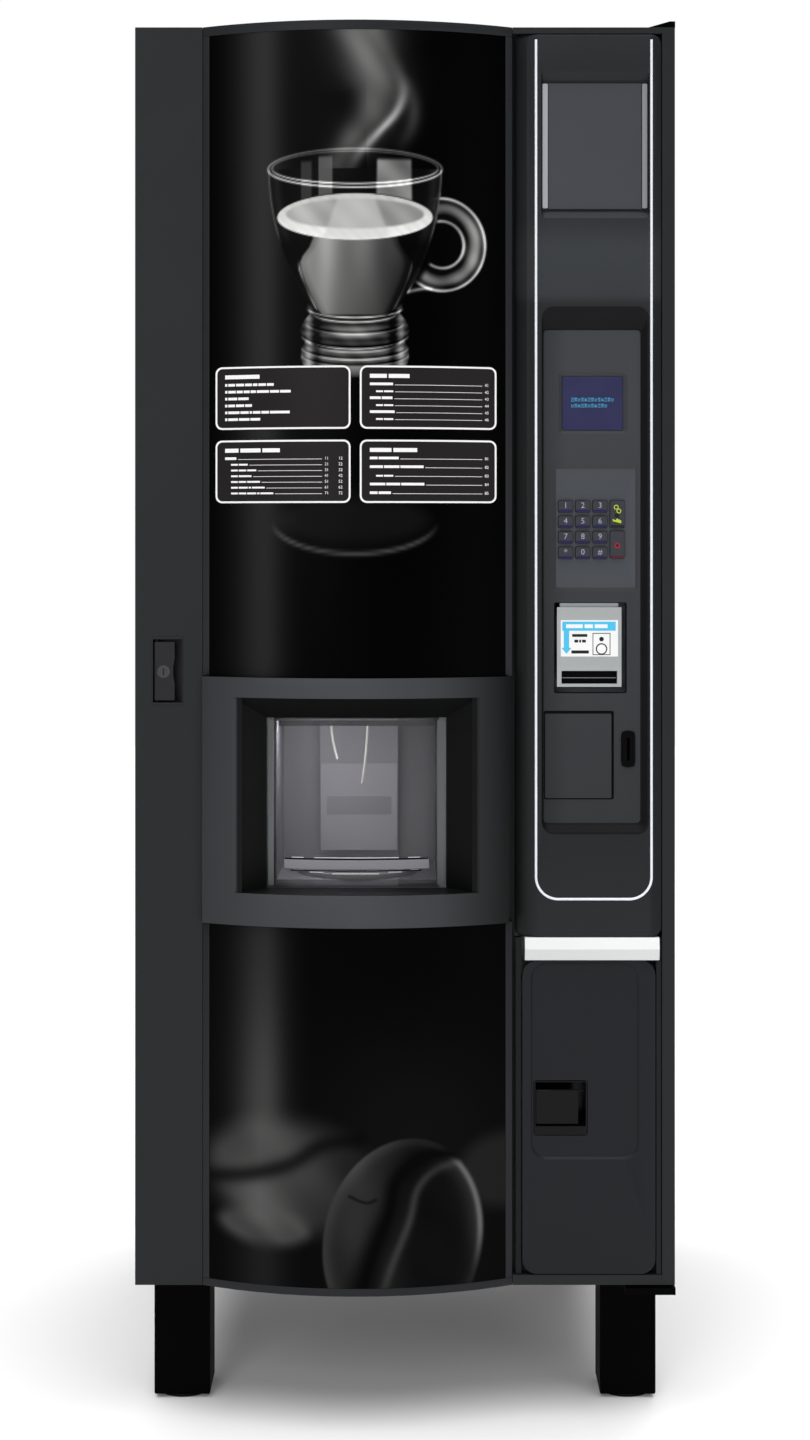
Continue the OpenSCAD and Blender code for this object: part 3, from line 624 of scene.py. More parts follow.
def curve_points(points, count=24):
    """Catmull-Rom curve through a few points."""
    p = [np.array(q, float) for q in [points[0]] + list(points) + [points[-1]]]
    out = []
    for i in range(1, len(p) - 2):
        for k in range(count // (len(p) - 3)):
            t = k / (count // (len(p) - 3))
            out.append(0.5 * (2 * p[i] + (p[i + 1] - p[i - 1]) * t
                              + (2 * p[i - 1] - 5 * p[i] + 4 * p[i + 1] - p[i + 2]) * t * t
                              + (3 * p[i] - p[i - 1] - 3 * p[i + 1] + p[i + 2]) * t ** 3))
    out.append(p[-2])
    return [tuple(q) for q in out]


def over(base, value, mask):
    return base * (1 - mask) + value * mask


def ripple(x, z, scale, seed):
    """Cheap smooth variation between -1 and 1."""
    return (np.sin(x / scale + seed) * np.cos(z / (scale * 1.3) - 1.7 * seed)
            + np.sin((x + z) / (scale * 0.6) + 2.1 * seed)) / 2


SHEEN_X = -184.0


def sheen(x, strength):
    left = line(x - SHEEN_X, 42.0)
    right = line(x - SHEEN_X, 30.0)
    return strength * np.where(x < SHEEN_X, left, right)


CUP_X, RIM_Z, RIM_A, RIM_B = -65.0, 1638.0, 113.0, 25.0
BREW_Z, BREW_A, BREW_B = 1575.0, 101.0, 30.0
BOWL_FOOT_Z, BOWL_FOOT_A = 1452.0, 44.0
HANDLE = (48.0, 1540.0)
HANDLE_IN, HANDLE_OUT = 27.0, 60.0


def draw_steam(ink, x, z):
    plume = curve_points([(-60, 1830), (-52, 1780), (-38, 1742), (-46, 1706), (-74, 1668), (-88, 1644)])
    d, t = path_distance(x, z, plume)
    wide = np.where(x < -50, 17, 24) + 20 * (1 - t) ** 1.5
    body = line(d, wide) * (0.36 - 0.14 * t) * (1 + 0.16 * ripple(x, z, 17, 0.6))
    strand = curve_points([(-38, 1815), (-14, 1775), (-2, 1742), (-10, 1712), (-36, 1682), (-60, 1655),
                           (-72, 1632)])
    d2, t2 = path_distance(x, z, strand)
    bright = line(d2, 5.0 + 9 * np.abs(t2 - 0.62)) * (0.40 * line(t2 - 0.58, 0.25) + 0.06)
    wisp = curve_points([(2, 1760), (12, 1722), (8, 1690), (-10, 1660)])
    d3, t3 = path_distance(x, z, wisp)
    faint = line(d3, 9) * 0.15 * np.sin(np.pi * t3)
    haze = line(d, 60) * 0.05 * (1 - t)
    return ink + body + bright + faint + haze


def draw_handle(ink, x, z):
    d = np.hypot((x - HANDLE[0]) / 0.98, (z - HANDLE[1]) / 1.04)
    angle = np.degrees(np.arctan2(z - HANDLE[1], x - HANDLE[0]))
    shown = smooth(-128, -116, angle) * smooth(108, 96, angle)
    ring = smooth(HANDLE_IN - 1, HANDLE_IN + 1, d) * smooth(HANDLE_OUT + 1, HANDLE_OUT - 1, d) * shown
    tone = 0.20 + 0.26 * line(d - 46, 7) + 0.09 * ripple(x, z, 12, 2.0)
    tone = tone + 0.10 * np.cos(np.radians(angle * 2))
    tone = tone + 0.50 * line(d - HANDLE_IN - 2.5, 1.8) + 0.55 * line(d - HANDLE_OUT + 2.2, 1.6)
    tone = tone - 0.22 * line(d - 34, 4) - 0.12 * line(d - 53, 2.5)
    ink = over(ink, np.clip(tone, 0.02, 1), ring)
    glints = [([(44, 1606), (38, 1590), (39, 1574)], 0.75), ([(17, 1508), (8, 1490), (4, 1478)], 0.6),
              ([(4, 1478), (22, 1482), (34, 1482)], 0.45)]
    for points, level in glints:
        g, t = path_distance(x, z, curve_points(points, 12))
        ink = ink + level * line(g, 2.2) * (0.6 + 0.4 * np.sin(np.pi * t))
    return ink


def bowl_half_width(z):
    """Half width of the glass at height z, from the rim down to the foot."""
    t = np.clip((RIM_Z - z) / (RIM_Z - BOWL_FOOT_Z), 0, 1)
    return BOWL_FOOT_A + (RIM_A - BOWL_FOOT_A) * (1 - t ** 1.9) ** 0.75


def draw_cup(ink, x, z):
    u = x - CUP_X
    width = bowl_half_width(z)
    inside = smooth(1.2, -1.2, np.abs(u) - width) * smooth(BOWL_FOOT_Z - 3, BOWL_FOOT_Z, z)
    inside = inside * np.where(z > RIM_Z, 0, 1)
    high = 0.12 + 0.88 * smooth(1535, 1560, z)
    glass = 0.012 + high * (0.30 * line(width - np.abs(u), 2.2)
                            + 0.07 * line(width - np.abs(u) - 10, 6) + 0.02)
    ink = over(ink, glass, inside * 0.92)
    # drink below the surface: bright on the left, dark on the right, with dark glass at both sides
    places = np.array([1446, 1456, 1476, 1494, 1506, 1516, 1524, 1536, 1548, 1575])
    halves = np.array([41, 47, 57, 64.5, 68.5, 70, 67, 58, 53, 52])
    body_half = np.interp(z, places, halves) + np.where(u > 0, 3, 0)
    drink = smooth(2, -2, np.abs(u + 1) - body_half) * smooth(1444, 1450, z) * smooth(1580, 1570, z)
    tone = 0.50 - 0.0022 * (u + 40) + 0.08 * line(u + 38, 12) - 0.0010 * (1560 - z)
    tone = tone + 0.035 * np.sin(u / 7.0) * smooth(1460, 1540, z) - 0.10 * smooth(20, 60, u)
    tone = tone - 0.10 * smooth(12, 0, body_half - np.abs(u + 1))
    ink = over(ink, np.clip(tone, 0.05, 1), drink)
    shell = np.abs(np.abs(u + 1) - body_half - 2.0)
    edge = line(shell, 1.3) * smooth(1450, 1458, z) * smooth(1522, 1508, z)
    ink = ink + edge * np.where(u < 0, 0.50, 0.22) * (0.7 + 0.3 * np.sin(z / 7))
    # foam and the lighter surface
    d = ellipse(x, z, CUP_X, BREW_Z, BREW_A, BREW_B)
    top = smooth(1.0, -1.0, d)
    foam = 0.80 + 0.10 * (BREW_Z - z) / BREW_B + 0.03 * ripple(x, z, 4, 3.0)
    ink = over(ink, np.clip(foam, 0, 0.93), top)
    d_in = ellipse(x, z, CUP_X, BREW_Z + 4, BREW_A - 11, BREW_B - 10)
    surface = 0.58 + 0.06 * ripple(x, z, 11, 4.0) - 0.08 * (u / BREW_A)
    ink = over(ink, surface, smooth(2, -3, d_in))
    beam = smooth(4, -4, np.abs(u - 2) - np.interp(z, [1545, 1600], [44, 24])) * smooth(2, -4, d)
    ink = over(ink, 0.74, 0.55 * beam)
    # inner wall reflections above the drink
    wall = smooth(0, -2, ellipse(x, z, CUP_X, RIM_Z, RIM_A - 3, RIM_B - 2.5))
    wall = np.maximum(wall, inside) * smooth(0, 2, d) * smooth(BREW_Z - 5, BREW_Z + 5, z)
    pale = smooth(2, -2, np.abs(x + 14) - np.interp(z, [1600, 1650], [23, 22])) * smooth(1653, 1646, z)
    ink = over(ink, 0.52 + 0.12 * ripple(x, z, 14, 5.0), 0.85 * pale * wall)
    for place, half, upper, level in [(-103, 9, 1656, 0.36), (-128, 7, 1650, 0.22)]:
        streak = smooth(1, -1, np.abs(x - place) - half) * smooth(upper, upper - 6, z)
        ink = over(ink, level, 0.8 * streak * wall)
    # rim
    rim = ellipse(x, z, CUP_X, RIM_Z, RIM_A, RIM_B)
    front = smooth(RIM_Z + 8, RIM_Z - 20, z)
    ink = ink + line(rim, 1.3) * (0.30 + 0.42 * front)
    lip = ellipse(x, z, CUP_X, RIM_Z + 0.8, RIM_A - 5, RIM_B - 4)
    ink = ink + line(lip, 1.1) * (0.22 + 0.50 * front)
    return ink


def draw_foot(ink, x, z):
    """Two glass rings under the bowl: bright middle, dark waists and fine rim lines."""
    u = (x - CUP_X) / 70
    half = np.interp(z, [1380, 1392, 1405, 1414, 1428, 1440, 1450, 1460],
                     [66, 70, 69, 64, 71, 66, 58, 62])
    base = smooth(1.2, -1.2, np.abs(x - CUP_X) - half) * smooth(1378, 1382, z) * smooth(1464, 1452, z)
    side = 0.30 * line(np.abs(u) - 0.86, 0.07) - 0.20 * line(np.abs(u) - 0.70, 0.07)
    middle = 0.42 * np.exp(-(u / 0.46) ** 4) * line(z - 1424 - 6 * u ** 2, 8)
    low_band = 0.20 * smooth(1410, 1400, z) * (1 - 0.5 * u ** 2) + 0.06 * np.sin(z / 1.6 - 3 * u ** 2)
    tone = 0.13 + side + middle + low_band + 0.05 * ripple(x, z, 7, 1.3)
    ink = over(ink, np.clip(tone, 0.02, 1), 0.92 * base)
    rings = [(1457, 62, 13, 0.75), (1450, 54, 12, 0.60), (1437, 63, 15, 0.30), (1422, 69, 19, 0.62),
             (1414, 60, 15, 0.32), (1406, 69, 17, 0.40), (1397, 70, 17, 0.28)]
    for cz, a, b, level in rings:
        d = ellipse(x, z, CUP_X, cz, a, b)
        lower = smooth(cz + 1, cz - 5, z)
        ink = ink + level * line(d, 1.2) * lower * (0.75 + 0.25 * np.cos(3 * u))
        ink = ink - 0.22 * line(d + 3.0, 1.5) * lower * base
    return ink


def draw_reflection(ink, x, z):
    """Dim mirror image of the foot under the cup."""
    d = ellipse(x, z, CUP_X, 1182, 108, 44)
    arc = line(d, 3.0) * smooth(1182, 1150, z) * 0.22
    pool = smooth(4, -30, d) * 0.05
    return ink + arc + pool


def ink_upper(x, z):
    """Display level, 0 to 1, of the upper graphic: steam over a glass of milky coffee."""
    fade = 0.80 + 0.20 * smooth(1000, 1800, z)
    ink = 0.004 + sheen(x, 0.165) * fade
    ink = draw_steam(ink, x, z)
    ink = draw_reflection(ink, x, z)
    ink = draw_handle(ink, x, z)
    ink = draw_foot(ink, x, z)
    ink = draw_cup(ink, x, z)
    return np.clip(ink, 0.0, 0.95)


BEAN = (-2.0, 246.0, 104.0, 134.0)


def draw_back_beans(ink, x, z):
    d = ellipse(x, z, -150, 330, 118, 78, -8)
    tone = 0.29 - 0.0012 * np.abs(x + 190) + 0.05 * ripple(x, z, 30, 1.0)
    ink = over(ink, np.clip(tone, 0.04, 1), 0.9 * smooth(16, -26, d))
    groove = curve_points([(-255, 322), (-200, 330), (-150, 345), (-105, 372), (-60, 378)])
    g, _ = path_distance(x, z, groove)
    ink = ink * (1 - 0.65 * line(g, 11))
    d2 = ellipse(x, z, -185, 262, 62, 26, -6)
    ink = over(ink, 0.30 + 0.04 * ripple(x, z, 14, 2.0), 0.7 * smooth(10, -14, d2))
    d3 = ellipse(x, z, 130, 330, 62, 50)
    return over(ink, 0.13, 0.8 * smooth(14, -16, d3))


def draw_front_bean(ink, x, z):
    cx, cz, a, b = BEAN
    d = ellipse(x, z, cx, cz, a, b, -10)
    inside = smooth(2.2, -2.2, d)
    depth = np.clip(-d, 0, 60)
    left = smooth(cx + 20, cx - 30, x)
    tone = 0.032 + 0.065 * left + 0.06 * line(x - (cx - 62), 30) * smooth(150, 280, z)
    tone = tone + 0.08 * line(depth, 12) + 0.008 * ripple(x, z, 23, 0.4)
    right = smooth(cx + 4, cx + 60, x) * smooth(cz - 60, cz + 20, z) * smooth(cz + 132, cz + 100, z)
    tone = tone + 0.22 * right * line(depth - 5, 4) + 0.07 * right * line(depth - 12, 14)
    groove = curve_points([(66, 356), (26, 356), (-10, 326), (-20, 284), (-40, 234), (-58, 176)])
    g, _ = path_distance(x, z, groove)
    tone = tone * (1 - 0.94 * line(g, 11 + 6 * smooth(330, 180, z)))
    ridge = curve_points([(70, 346), (38, 336), (16, 312), (6, 272), (-14, 222), (-30, 178)])
    h, t = path_distance(x, z, ridge)
    tone = tone + 0.15 * line(h, 6) * (0.4 + 0.6 * np.sin(np.pi * t))
    crack, t = path_distance(x, z, curve_points([(-72, 306), (-60, 300), (-48, 297), (-38, 301)], 12))
    tone = tone * (1 - 0.6 * line(crack, 2.0))
    return over(ink, np.clip(tone, 0.01, 1), inside)


def ink_lower(x, z):
    """Display level of the lower graphic: dim coffee beans out of a dark ground."""
    lift = smooth(640, 420, z) * 0.07
    ink = 0.004 + sheen(x, 0.15 + lift) * (1 - 0.6 * smooth(330, 240, z))
    ink = ink + 0.035 * smooth(600, 380, z) * line(x - 10, 130)
    ink = draw_back_beans(ink, x, z)
    ink = draw_front_bean(ink, x, z)
    return np.clip(ink, 0.0, 0.9)


PANEL_THICK = 4.0


def steps(*spans):
    """Grid lines from (start, end, step) spans laid end to end."""
    values = []
    for start, end, step in spans:
        count = max(1, round((end - start) / step))
        values += [start + (end - start) * i / count for i in range(count)]
    return values + [spans[-1][1]]


def printed_panel(name, node, zs, ink):
    """Curved sheet in place of a CAD panel, its face coloured point by point by ink(x, z)."""
    low, high = box_mm(node)
    xs = steps((low[0], high[0], 1.6))
    nx, nz = len(xs), len(zs)
    gx, gz = np.meshgrid(xs, zs, indexing="ij")
    gy = bow_y(gx)
    front = np.stack([gx, gy, gz], axis=-1).reshape(-1, 3)
    back = [(x, float(bow_y(x, -PANEL_THICK)), z) for x in xs for z in (zs[0], zs[-1])]
    verts = [tuple(v) for v in front] + back
    base = nx * nz
    faces = []
    for i in range(nx - 1):
        faces += [(i * nz + k, (i + 1) * nz + k, (i + 1) * nz + k + 1, i * nz + k + 1)
                  for k in range(nz - 1)]
    for i in range(nx - 1):
        a, b = base + 2 * i, base + 2 * i + 2
        faces += [(a, a + 1, b + 1, b), (i * nz, a, b, (i + 1) * nz),
                  (i * nz + nz - 1, (i + 1) * nz + nz - 1, b + 1, a + 1)]
    faces.append(tuple(range(nz)) + (base + 1, base))
    last = (nx - 1) * nz
    faces.append(tuple(range(last + nz - 1, last - 1, -1)) + (base + 2 * nx - 2, base + 2 * nx - 1))
    mesh = mesh_from(verts, faces, name)
    level = np.concatenate([ink(gx, gz).reshape(-1), np.full(len(back), 0.012)])
    linear = np.where(level > 0.04, ((level + 0.055) / 1.055) ** 2.4, level / 12.92)
    colour = np.ones((len(level), 4))
    colour[:, :3] = linear[:, None] * np.array([1.0, 0.995, 0.985])
    layer = mesh.color_attributes.new("ink", "FLOAT_COLOR", "POINT")
    layer.data.foreach_set("color", colour.reshape(-1))
    obj = add_object(name, mesh, "door", [PRINT], smooth_angle=30)
    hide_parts(node)


printed_panel("upper_graphic", "graphic_panel_upper",
              steps((panel_low[2], 1130, 14), (1130, 1200, 4), (1200, 1380, 14), (1380, 1670, 1.5),
                    (1670, panel_high[2], 2.4)), ink_upper)
printed_panel("lower_graphic", "graphic_panel_lower",
              steps((foot_low[2], 400, 1.6), (400, foot_high[2], 5)), ink_lower)


# ---------------------------------------------------------------- labels on the upper graphic

LABEL_X = [(-248.5, -70.5), (-58.5, 120.0)]
LABEL_Z = [(1300.0, 1382.0), (1204.0, 1286.0)]
BORDER = 2.4
LINE_H = 2.3


def words(shapes, x, z, widths, height, material, surface=bow_y, lift=0.65, gap=1.3):
    """A line of print as word-length bars, which are read as text only from afar."""
    for width in widths:
        shapes.bar(x, x + width, z, z + height, surface, lift, material)
        x += width + gap
    return x


def label_plate(x0, x1, z0, z1):
    shapes = Shapes()
    shapes.rounded_bar(x0, x1, z0, z1, 9, bow_y, 0.30, 1, 0.28)
    shapes.rounded_bar(x0 + BORDER, x1 - BORDER, z0 + BORDER, z1 - BORDER, 7, bow_y, 0.42, 0, 0.14)
    return shapes


def menu_label(name, x0, x1, z0, z1, title, rows):
    """Heading, then rows of (indent, word widths, number), joined by a thin leader."""
    shapes = label_plate(x0, x1, z0, z1)
    words(shapes, x0 + 13, z1 - 16, title, 5.2, 1, gap=2.4)
    pitch = (z1 - z0 - 37) / max(1, len(rows) - 1)
    for i, (indent, widths, numbers) in enumerate(rows):
        z = z1 - 25.5 - i * pitch
        height = LINE_H if indent else LINE_H + 1.1
        end = words(shapes, x0 + 13 + indent, z, widths, height, 1)
        right = x1 - 13 - 18 * (len(numbers) - 1)
        if numbers:
            shapes.bar(end + 1, right - 6, z + 0.2, z + 0.8, bow_y, 0.6, 1)
        for k, number in enumerate(numbers):
            shapes.digits(number, right + 18 * k, z + 1.3, 5.4, bow_y, 0.62, 1)
    shapes.build(name, "door", [LABEL, WHITE])


menu_label("label_steps", *LABEL_X[0], *LABEL_Z[0], [46], [
    (0, [3, 9, 11, 9, 6, 10, 9], []), (0, [3, 10, 8, 8, 7, 16, 12, 14], []), (0, [3, 12, 14], []),
    (0, [3, 9, 11, 9], []), (0, [3, 15, 11, 3, 10, 10, 26], []), (0, [3, 13, 14, 13], [])])
menu_label("label_blends", *LABEL_X[1], *LABEL_Z[0], [22, 27], [
    (0, [30], ["41"]), (8, [9, 12], ["42"]), (0, [14, 14], ["43"]), (8, [9, 12], ["44"]),
    (0, [32], ["45"]), (8, [9, 12], ["46"])])
menu_label("label_coffee", *LABEL_X[0], *LABEL_Z[1], [18, 27, 23], [
    (0, [15], ["11", "12"]), (8, [9, 12], ["21", "22"]), (8, [9, 10, 12], ["31", "32"]),
    (8, [9, 17], ["41", "42"]), (8, [9, 10, 17], ["51", "52"]), (8, [9, 12, 3, 17], ["61", "62"]),
    (8, [9, 10, 12, 3, 17], ["71", "72"])])
menu_label("label_flavours", *LABEL_X[1], *LABEL_Z[1], [28, 31], [
    (0, [10, 26], ["81"]), (0, [17, 20, 30], ["82"]), (8, [9, 12], ["83"]), (0, [20, 18, 30], ["84"]),
    (0, [10, 16], ["85"])])


# ---------------------------------------------------------------- control column

COLUMN_TOP = column_high[2]
COLUMN_FOOT = 633.2
MODULE_Y = FRONT + 8.5
KEYPAD_DEPTH = 3.4                         # shallower than in CAD, so that the note reader stays hidden
KEY_GAP = 0.5
INFO_RECT = (178.5, 322.5, 1575.0, 1777.0)
MODULE_RECT = (179.5, 321.5, 768.5, 1463.0)


def column_moulding():
    """The column's satin front, with the pockets of the information panel and of the module."""
    form = Moulding()
    x0, x1, z0, z1 = column_low[0], column_high[0], COLUMN_FOOT, COLUMN_TOP
    # inset from the left, right, foot and top, depth behind the front, corner radius
    stations = [(0.0, 0.0, 0.0, 0.0, 14.0, 10), (0.2, 0.2, 0.2, 0.2, 7.0, 10),
                (1.2, 0.3, 0.3, 0.4, 6.0, 11), (14.5, 0.8, 0.6, 1.0, 0.8, 14),
                (15.6, 1.4, 1.2, 1.8, 0.25, 14), (17.5, 2.6, 2.4, 3.0, 0.0, 13)]
    loops = [form.loop((x0 + left, x1 - right, z0 + low, z1 - high), r, FRONT + deep)
             for left, right, low, high, deep, r in stations]
    form.stack(loops, 0)
    info = Pocket(INFO_RECT, 8, (2.5, 3.0, 17, 18), 9.8, open_floor=True, floor_r=2)
    module = Pocket(MODULE_RECT, 16, (2.5, 10.5, 13, 30), 8.4, material=1, open_floor=True, floor_r=5)
    holes = [form.pocket(info, FRONT), form.pocket(module, FRONT)]
    form.fill(loops[-1], holes, 0)
    obj = form.build("column_front", "door", [FASCIA, RECESS_SHADE])
    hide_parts("control_fascia")


KEY_BOXES = {n: box_mm(n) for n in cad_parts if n.startswith("key_")}


def key_hole(node):
    low, high = KEY_BOXES[node]
    rect = (low[0] - KEY_GAP, high[0] + KEY_GAP, low[2] - KEY_GAP, high[2] + KEY_GAP)
    return Pocket(rect, 1.5, (0.1, 0.1, 0.1, 0.1), 3.0, material=2, open_floor=True)


def module_moulding():
    """Recessed panel with display, keypad, banknote, cover and coin pockets."""
    form = Moulding()
    x0, x1, z0, z1 = 181.7, 311.3, 781.3, 1433.3
    loops = [form.loop((x0 + i, x1 - i, z0 + i, z1 - i), r, MODULE_Y + deep)
             for i, deep, r in [(0, 4, 6), (0.2, 0.8, 6), (1.2, 0, 5)]]
    form.stack(loops, 0)
    keys = [key_hole(n) for n in KEY_BOXES]
    pockets = [
        Pocket((200.5, 296, 1294, 1379), 6, (9, 10, 8, 9), 6.0, open_floor=True, floor_r=1.5),
        Pocket((185.5, 309, 1086, 1264.5), 6, (14, 5, 7, 15), KEYPAD_DEPTH, inner=keys, floor_r=2,
               floor_material=1),
        Pocket((196.5, 292.5, 953.5, 1073.5), 2.5, (1.5, 1.5, 1.5, 1.5), 6.0, material=2,
               open_floor=True),
        Pocket((183.2, 275.5, 813.8, 930.5), 2.0, (0.4, 2.0, 0.4, 2.0), 3.0, material=2),
        Pocket((284.5, 304, 855.5, 904.5), 8.5, (1.6, 1.6, 1.6, 1.6), 2.2, open_floor=True),
    ]
    form.fill(loops[-1], [form.pocket(p, MODULE_Y) for p in pockets], 0)
    obj = form.build("module_front", "door", [MODULE, KEYPAD, RECESS_SHADE], thick=1.2)
    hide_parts("control_module")


column_moulding()
module_moulding()


def tube(name, points, radius, body, material, cyclic=False):
    """Round bar along points, as a bevelled curve turned into a mesh."""
    curve = bpy.data.curves.new(name, "CURVE")
    curve.dimensions = "3D"
    curve.bevel_depth = radius * MM
    curve.bevel_resolution = 4
    curve.use_fill_caps = True
    spline = curve.splines.new("POLY")
    spline.points.add(len(points) - 1)
    for target, p in zip(spline.points, points):
        target.co = (p[0] * MM, p[1] * MM, p[2] * MM, 1)
    spline.use_cyclic_u = cyclic
    obj = add_object(name, curve_mesh(curve), body, [material], smooth_angle=40)


def accent_line():
    """White U-shaped line let into the column front."""
    x0, x1, foot, top, r = 172.3, 324.2, 683.5, COLUMN_TOP - 8, 29
    turns = [math.radians(a) for a in range(6, 90, 6)]
    path = [(x0, top), (x0, foot + r)]
    path += [(x0 + r - r * math.cos(a), foot + r - r * math.sin(a)) for a in turns]
    path += [(x0 + r, foot), (x1 - r, foot)]
    path += [(x1 - r + r * math.sin(a), foot + r - r * math.cos(a)) for a in turns]
    path += [(x1, foot + r), (x1, top)]
    points = [(x, FRONT - 0.2, z) for x, z in path]
    tube("accent_line", points, 1.7, "door", TRIM)


accent_line()


def info_strips():
    """Satin uprights at both sides of the information panel."""
    shapes = Shapes()
    for x0, x1 in [(181.2, 188.0), (312.6, 319.2)]:
        shapes.rounded_bar(x0, x1, 1593, 1757, 1.5, flat(FRONT + 5.5), 0, 0, 3.5)
    obj = shapes.build("info_strips", "door", [SILVER], 40)


info_strips()


def column_borders():
    """Narrow uprights beside the light bar and the lower panel."""
    shapes = Shapes()
    foot = column_low[2]
    shapes.bar(column_low[0], 153.4, foot, COLUMN_FOOT - 0.4, flat(FRONT + 3.0), 0, 0, 10)
    shapes.bar(330.6, 337.8, foot, 602.6, flat(FRONT + 1.5), 0, 0, 10)
    shapes.bar(335.0, 337.8, 602.6, COLUMN_FOOT - 0.4, flat(FRONT + 1.5), 0, 0, 10)
    obj = shapes.build("column_borders", "door", [FASCIA])
    soften(obj, 1.0)


column_borders()


def lower_moulding():
    """Service panel with its shallow embossed field and the hole of the coin return."""
    low, high = box_mm("lower_panel")
    form = Moulding()
    y = low[1]
    loops = [form.loop((low[0] + i, high[0] - i, low[2] + i, high[2] - i), r, y + deep)
             for i, deep, r in [(0, 7, 20), (0.1, 1.2, 20), (0.5, 0.3, 20), (1.3, 0, 19)]]
    form.stack(loops, 0)
    cup = Pocket((169.2, 240.8, 371.2, 444.4), 4, (1, 1, 1, 1), 3.0, open_floor=True, floor_r=3)
    field = Pocket((165.5, 309, 340, 600), 20, (2.0, 3.5, 3.5, 2.0), 3.2, inner=[cup])
    form.fill(loops[-1], [form.pocket(field, y)], 0)
    obj = form.build("lower_front", "door", [LOWER], thick=1.5)
    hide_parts("lower_panel")


lower_moulding()


# ---------------------------------------------------------------- display, keys, payment

def display_lines():
    """Two rows of lit cells in the dot-matrix display; the cells spell nothing."""
    face = flat(box_mm("display_window")[0][1])
    shapes = Shapes()
    pitch, dot = 0.86, 0.62
    for row, z_top in enumerate((1343.5, 1335.5)):
        for cell in range(13 - 2 * row):
            for i in range(4):
                for k in range(6):
                    if (i * 5 + k * 3 + cell * 7 + row * 4 + (i * k) % 3) % 5 < 3:
                        x = 219.5 + cell * 4.4 + i * pitch
                        z = z_top - k * pitch
                        shapes.bar(x, x + dot, z - dot, z, face, 0.12, 0, 0.1)
    obj = shapes.build("display_dots", "door", [DOTS])


display_lines()

KEY_SIGNS = {"key_star": "*", "key_hash": "#"}


def dress_key(node):
    """Key body from CAD with its sign and its darker lower edge."""
    low, high = KEY_BOXES[node]
    finish_node(node, KEY, 0.7)
    face = flat(low[1])
    x = (low[0] + high[0]) / 2
    z = (low[2] + high[2]) / 2
    shapes = Shapes()
    if node == "key_coin_return":
        coins = [(-1.5, 9, 3.2, 0.15, 2), (-1.5, 9, 2, 0.2, 0), (2, 4, 3.2, 0.25, 2),
                 (2, 4, 2, 0.3, 0), (-0.5, -2, 3, 0.2, 1)]
        for dx, dz, r, lift, material in coins:
            shapes.disc(x + dx, z + dz, r, face, lift, material)
        tray = [(x - 6 + i, z - 9.5 - 0.25 * i, z - 6.5 - 0.45 * i + (3 if i > 4 else 0))
                for i in range(12)]
        shapes.slab(tray, face, 0.2, 0.2, 2)
        edge = 1
    elif node == "key_cancel":
        shapes.disc(x, z - 1.0, 3.6, face, 0.15, 3)
        shapes.disc(x, z - 1.0, 1.8, face, 0.2, 1)
        edge = 4
    else:
        sign = KEY_SIGNS.get(node, node[-1])
        shapes.digits(sign, x, z + 1.0, 10.5, face, 0.12, 5)
        edge = 6
    shapes.bar(low[0] + 0.8, high[0] - 0.8, low[2] + 0.6, low[2] + 3.0, face, 0.14, edge)
    obj = shapes.build(node + "_print", node, [KEY, INK, GREEN, RED, MAROON, DIGIT, NAVY])


for key_node in KEY_BOXES:
    dress_key(key_node)


def bill_print():
    """Generic label over the banknote slot: an arrow, a note outline and bars for words."""
    face = flat(box_mm("bill_validator")[0][1])
    shapes = Shapes()
    x0, x1, z0, z1 = 205.5, 281.0, 1002.0, 1050.0
    shapes.bar(x0, x1, z0, z1, face, 0.25, 0, 0.24)
    shapes.bar(x0 + 2, x1 - 3, z1 - 14, z1 - 2, face, 0.4, 1)
    shapes.bar(x0 + 4, x0 + 11, z0 + 11, z1 - 14, face, 0.4, 1)
    head = [(x0 + 1.5 + i, z0 + 3.5 + abs(i - 6) * 1.2, z0 + 11.5) for i in range(13)]
    shapes.slab(head, face, 0.42, 0.2, 1)
    words(shapes, x0 + 7, z1 - 10.5, [22, 11, 17], 5, 0, face, 0.55, 2.4)
    for dx, z, widths, height in [(15, z1 - 22, [20], 3.6), (18, z1 - 29.5, [5, 2.5, 5], 3.6),
                                  (14, z0 + 4, [23], 4)]:
        words(shapes, x0 + dx, z, widths, height, 2, face, 0.45)
    nx0, nx1 = x0 + 42, x1 - 10
    shapes.bar(nx0, nx1, z0 + 2, z1 - 17, face, 0.4, 2)
    shapes.bar(nx0 + 1, nx1 - 1, z0 + 3, z1 - 18, face, 0.5, 0)
    for dz, r, lift, material in [(10, 7.6, 0.6, 2), (10, 6, 0.7, 0), (23, 3, 0.6, 2)]:
        shapes.disc((nx0 + nx1) / 2, z0 + dz, r, face, lift, material)
    shapes.bar(206.8, 279.8, 966.3, 982.8, face, -6.0, 3, 2)
    shapes.bar(207.5, 279, 973.2, 974.0, face, -5.4, 4, 0.5)
    obj = shapes.build("bill_label", "door", [WHITE, SKY, INK, BLACK, SILVER])


bill_print()


# ---------------------------------------------------------------- delivery port and cup station

WINDOW_R = 400.0
LAMP_GLOW = 46.0
INSERT_INSET = 26.4                        # from the station's back to the face of the insert
SPOUT_STEPS = 12


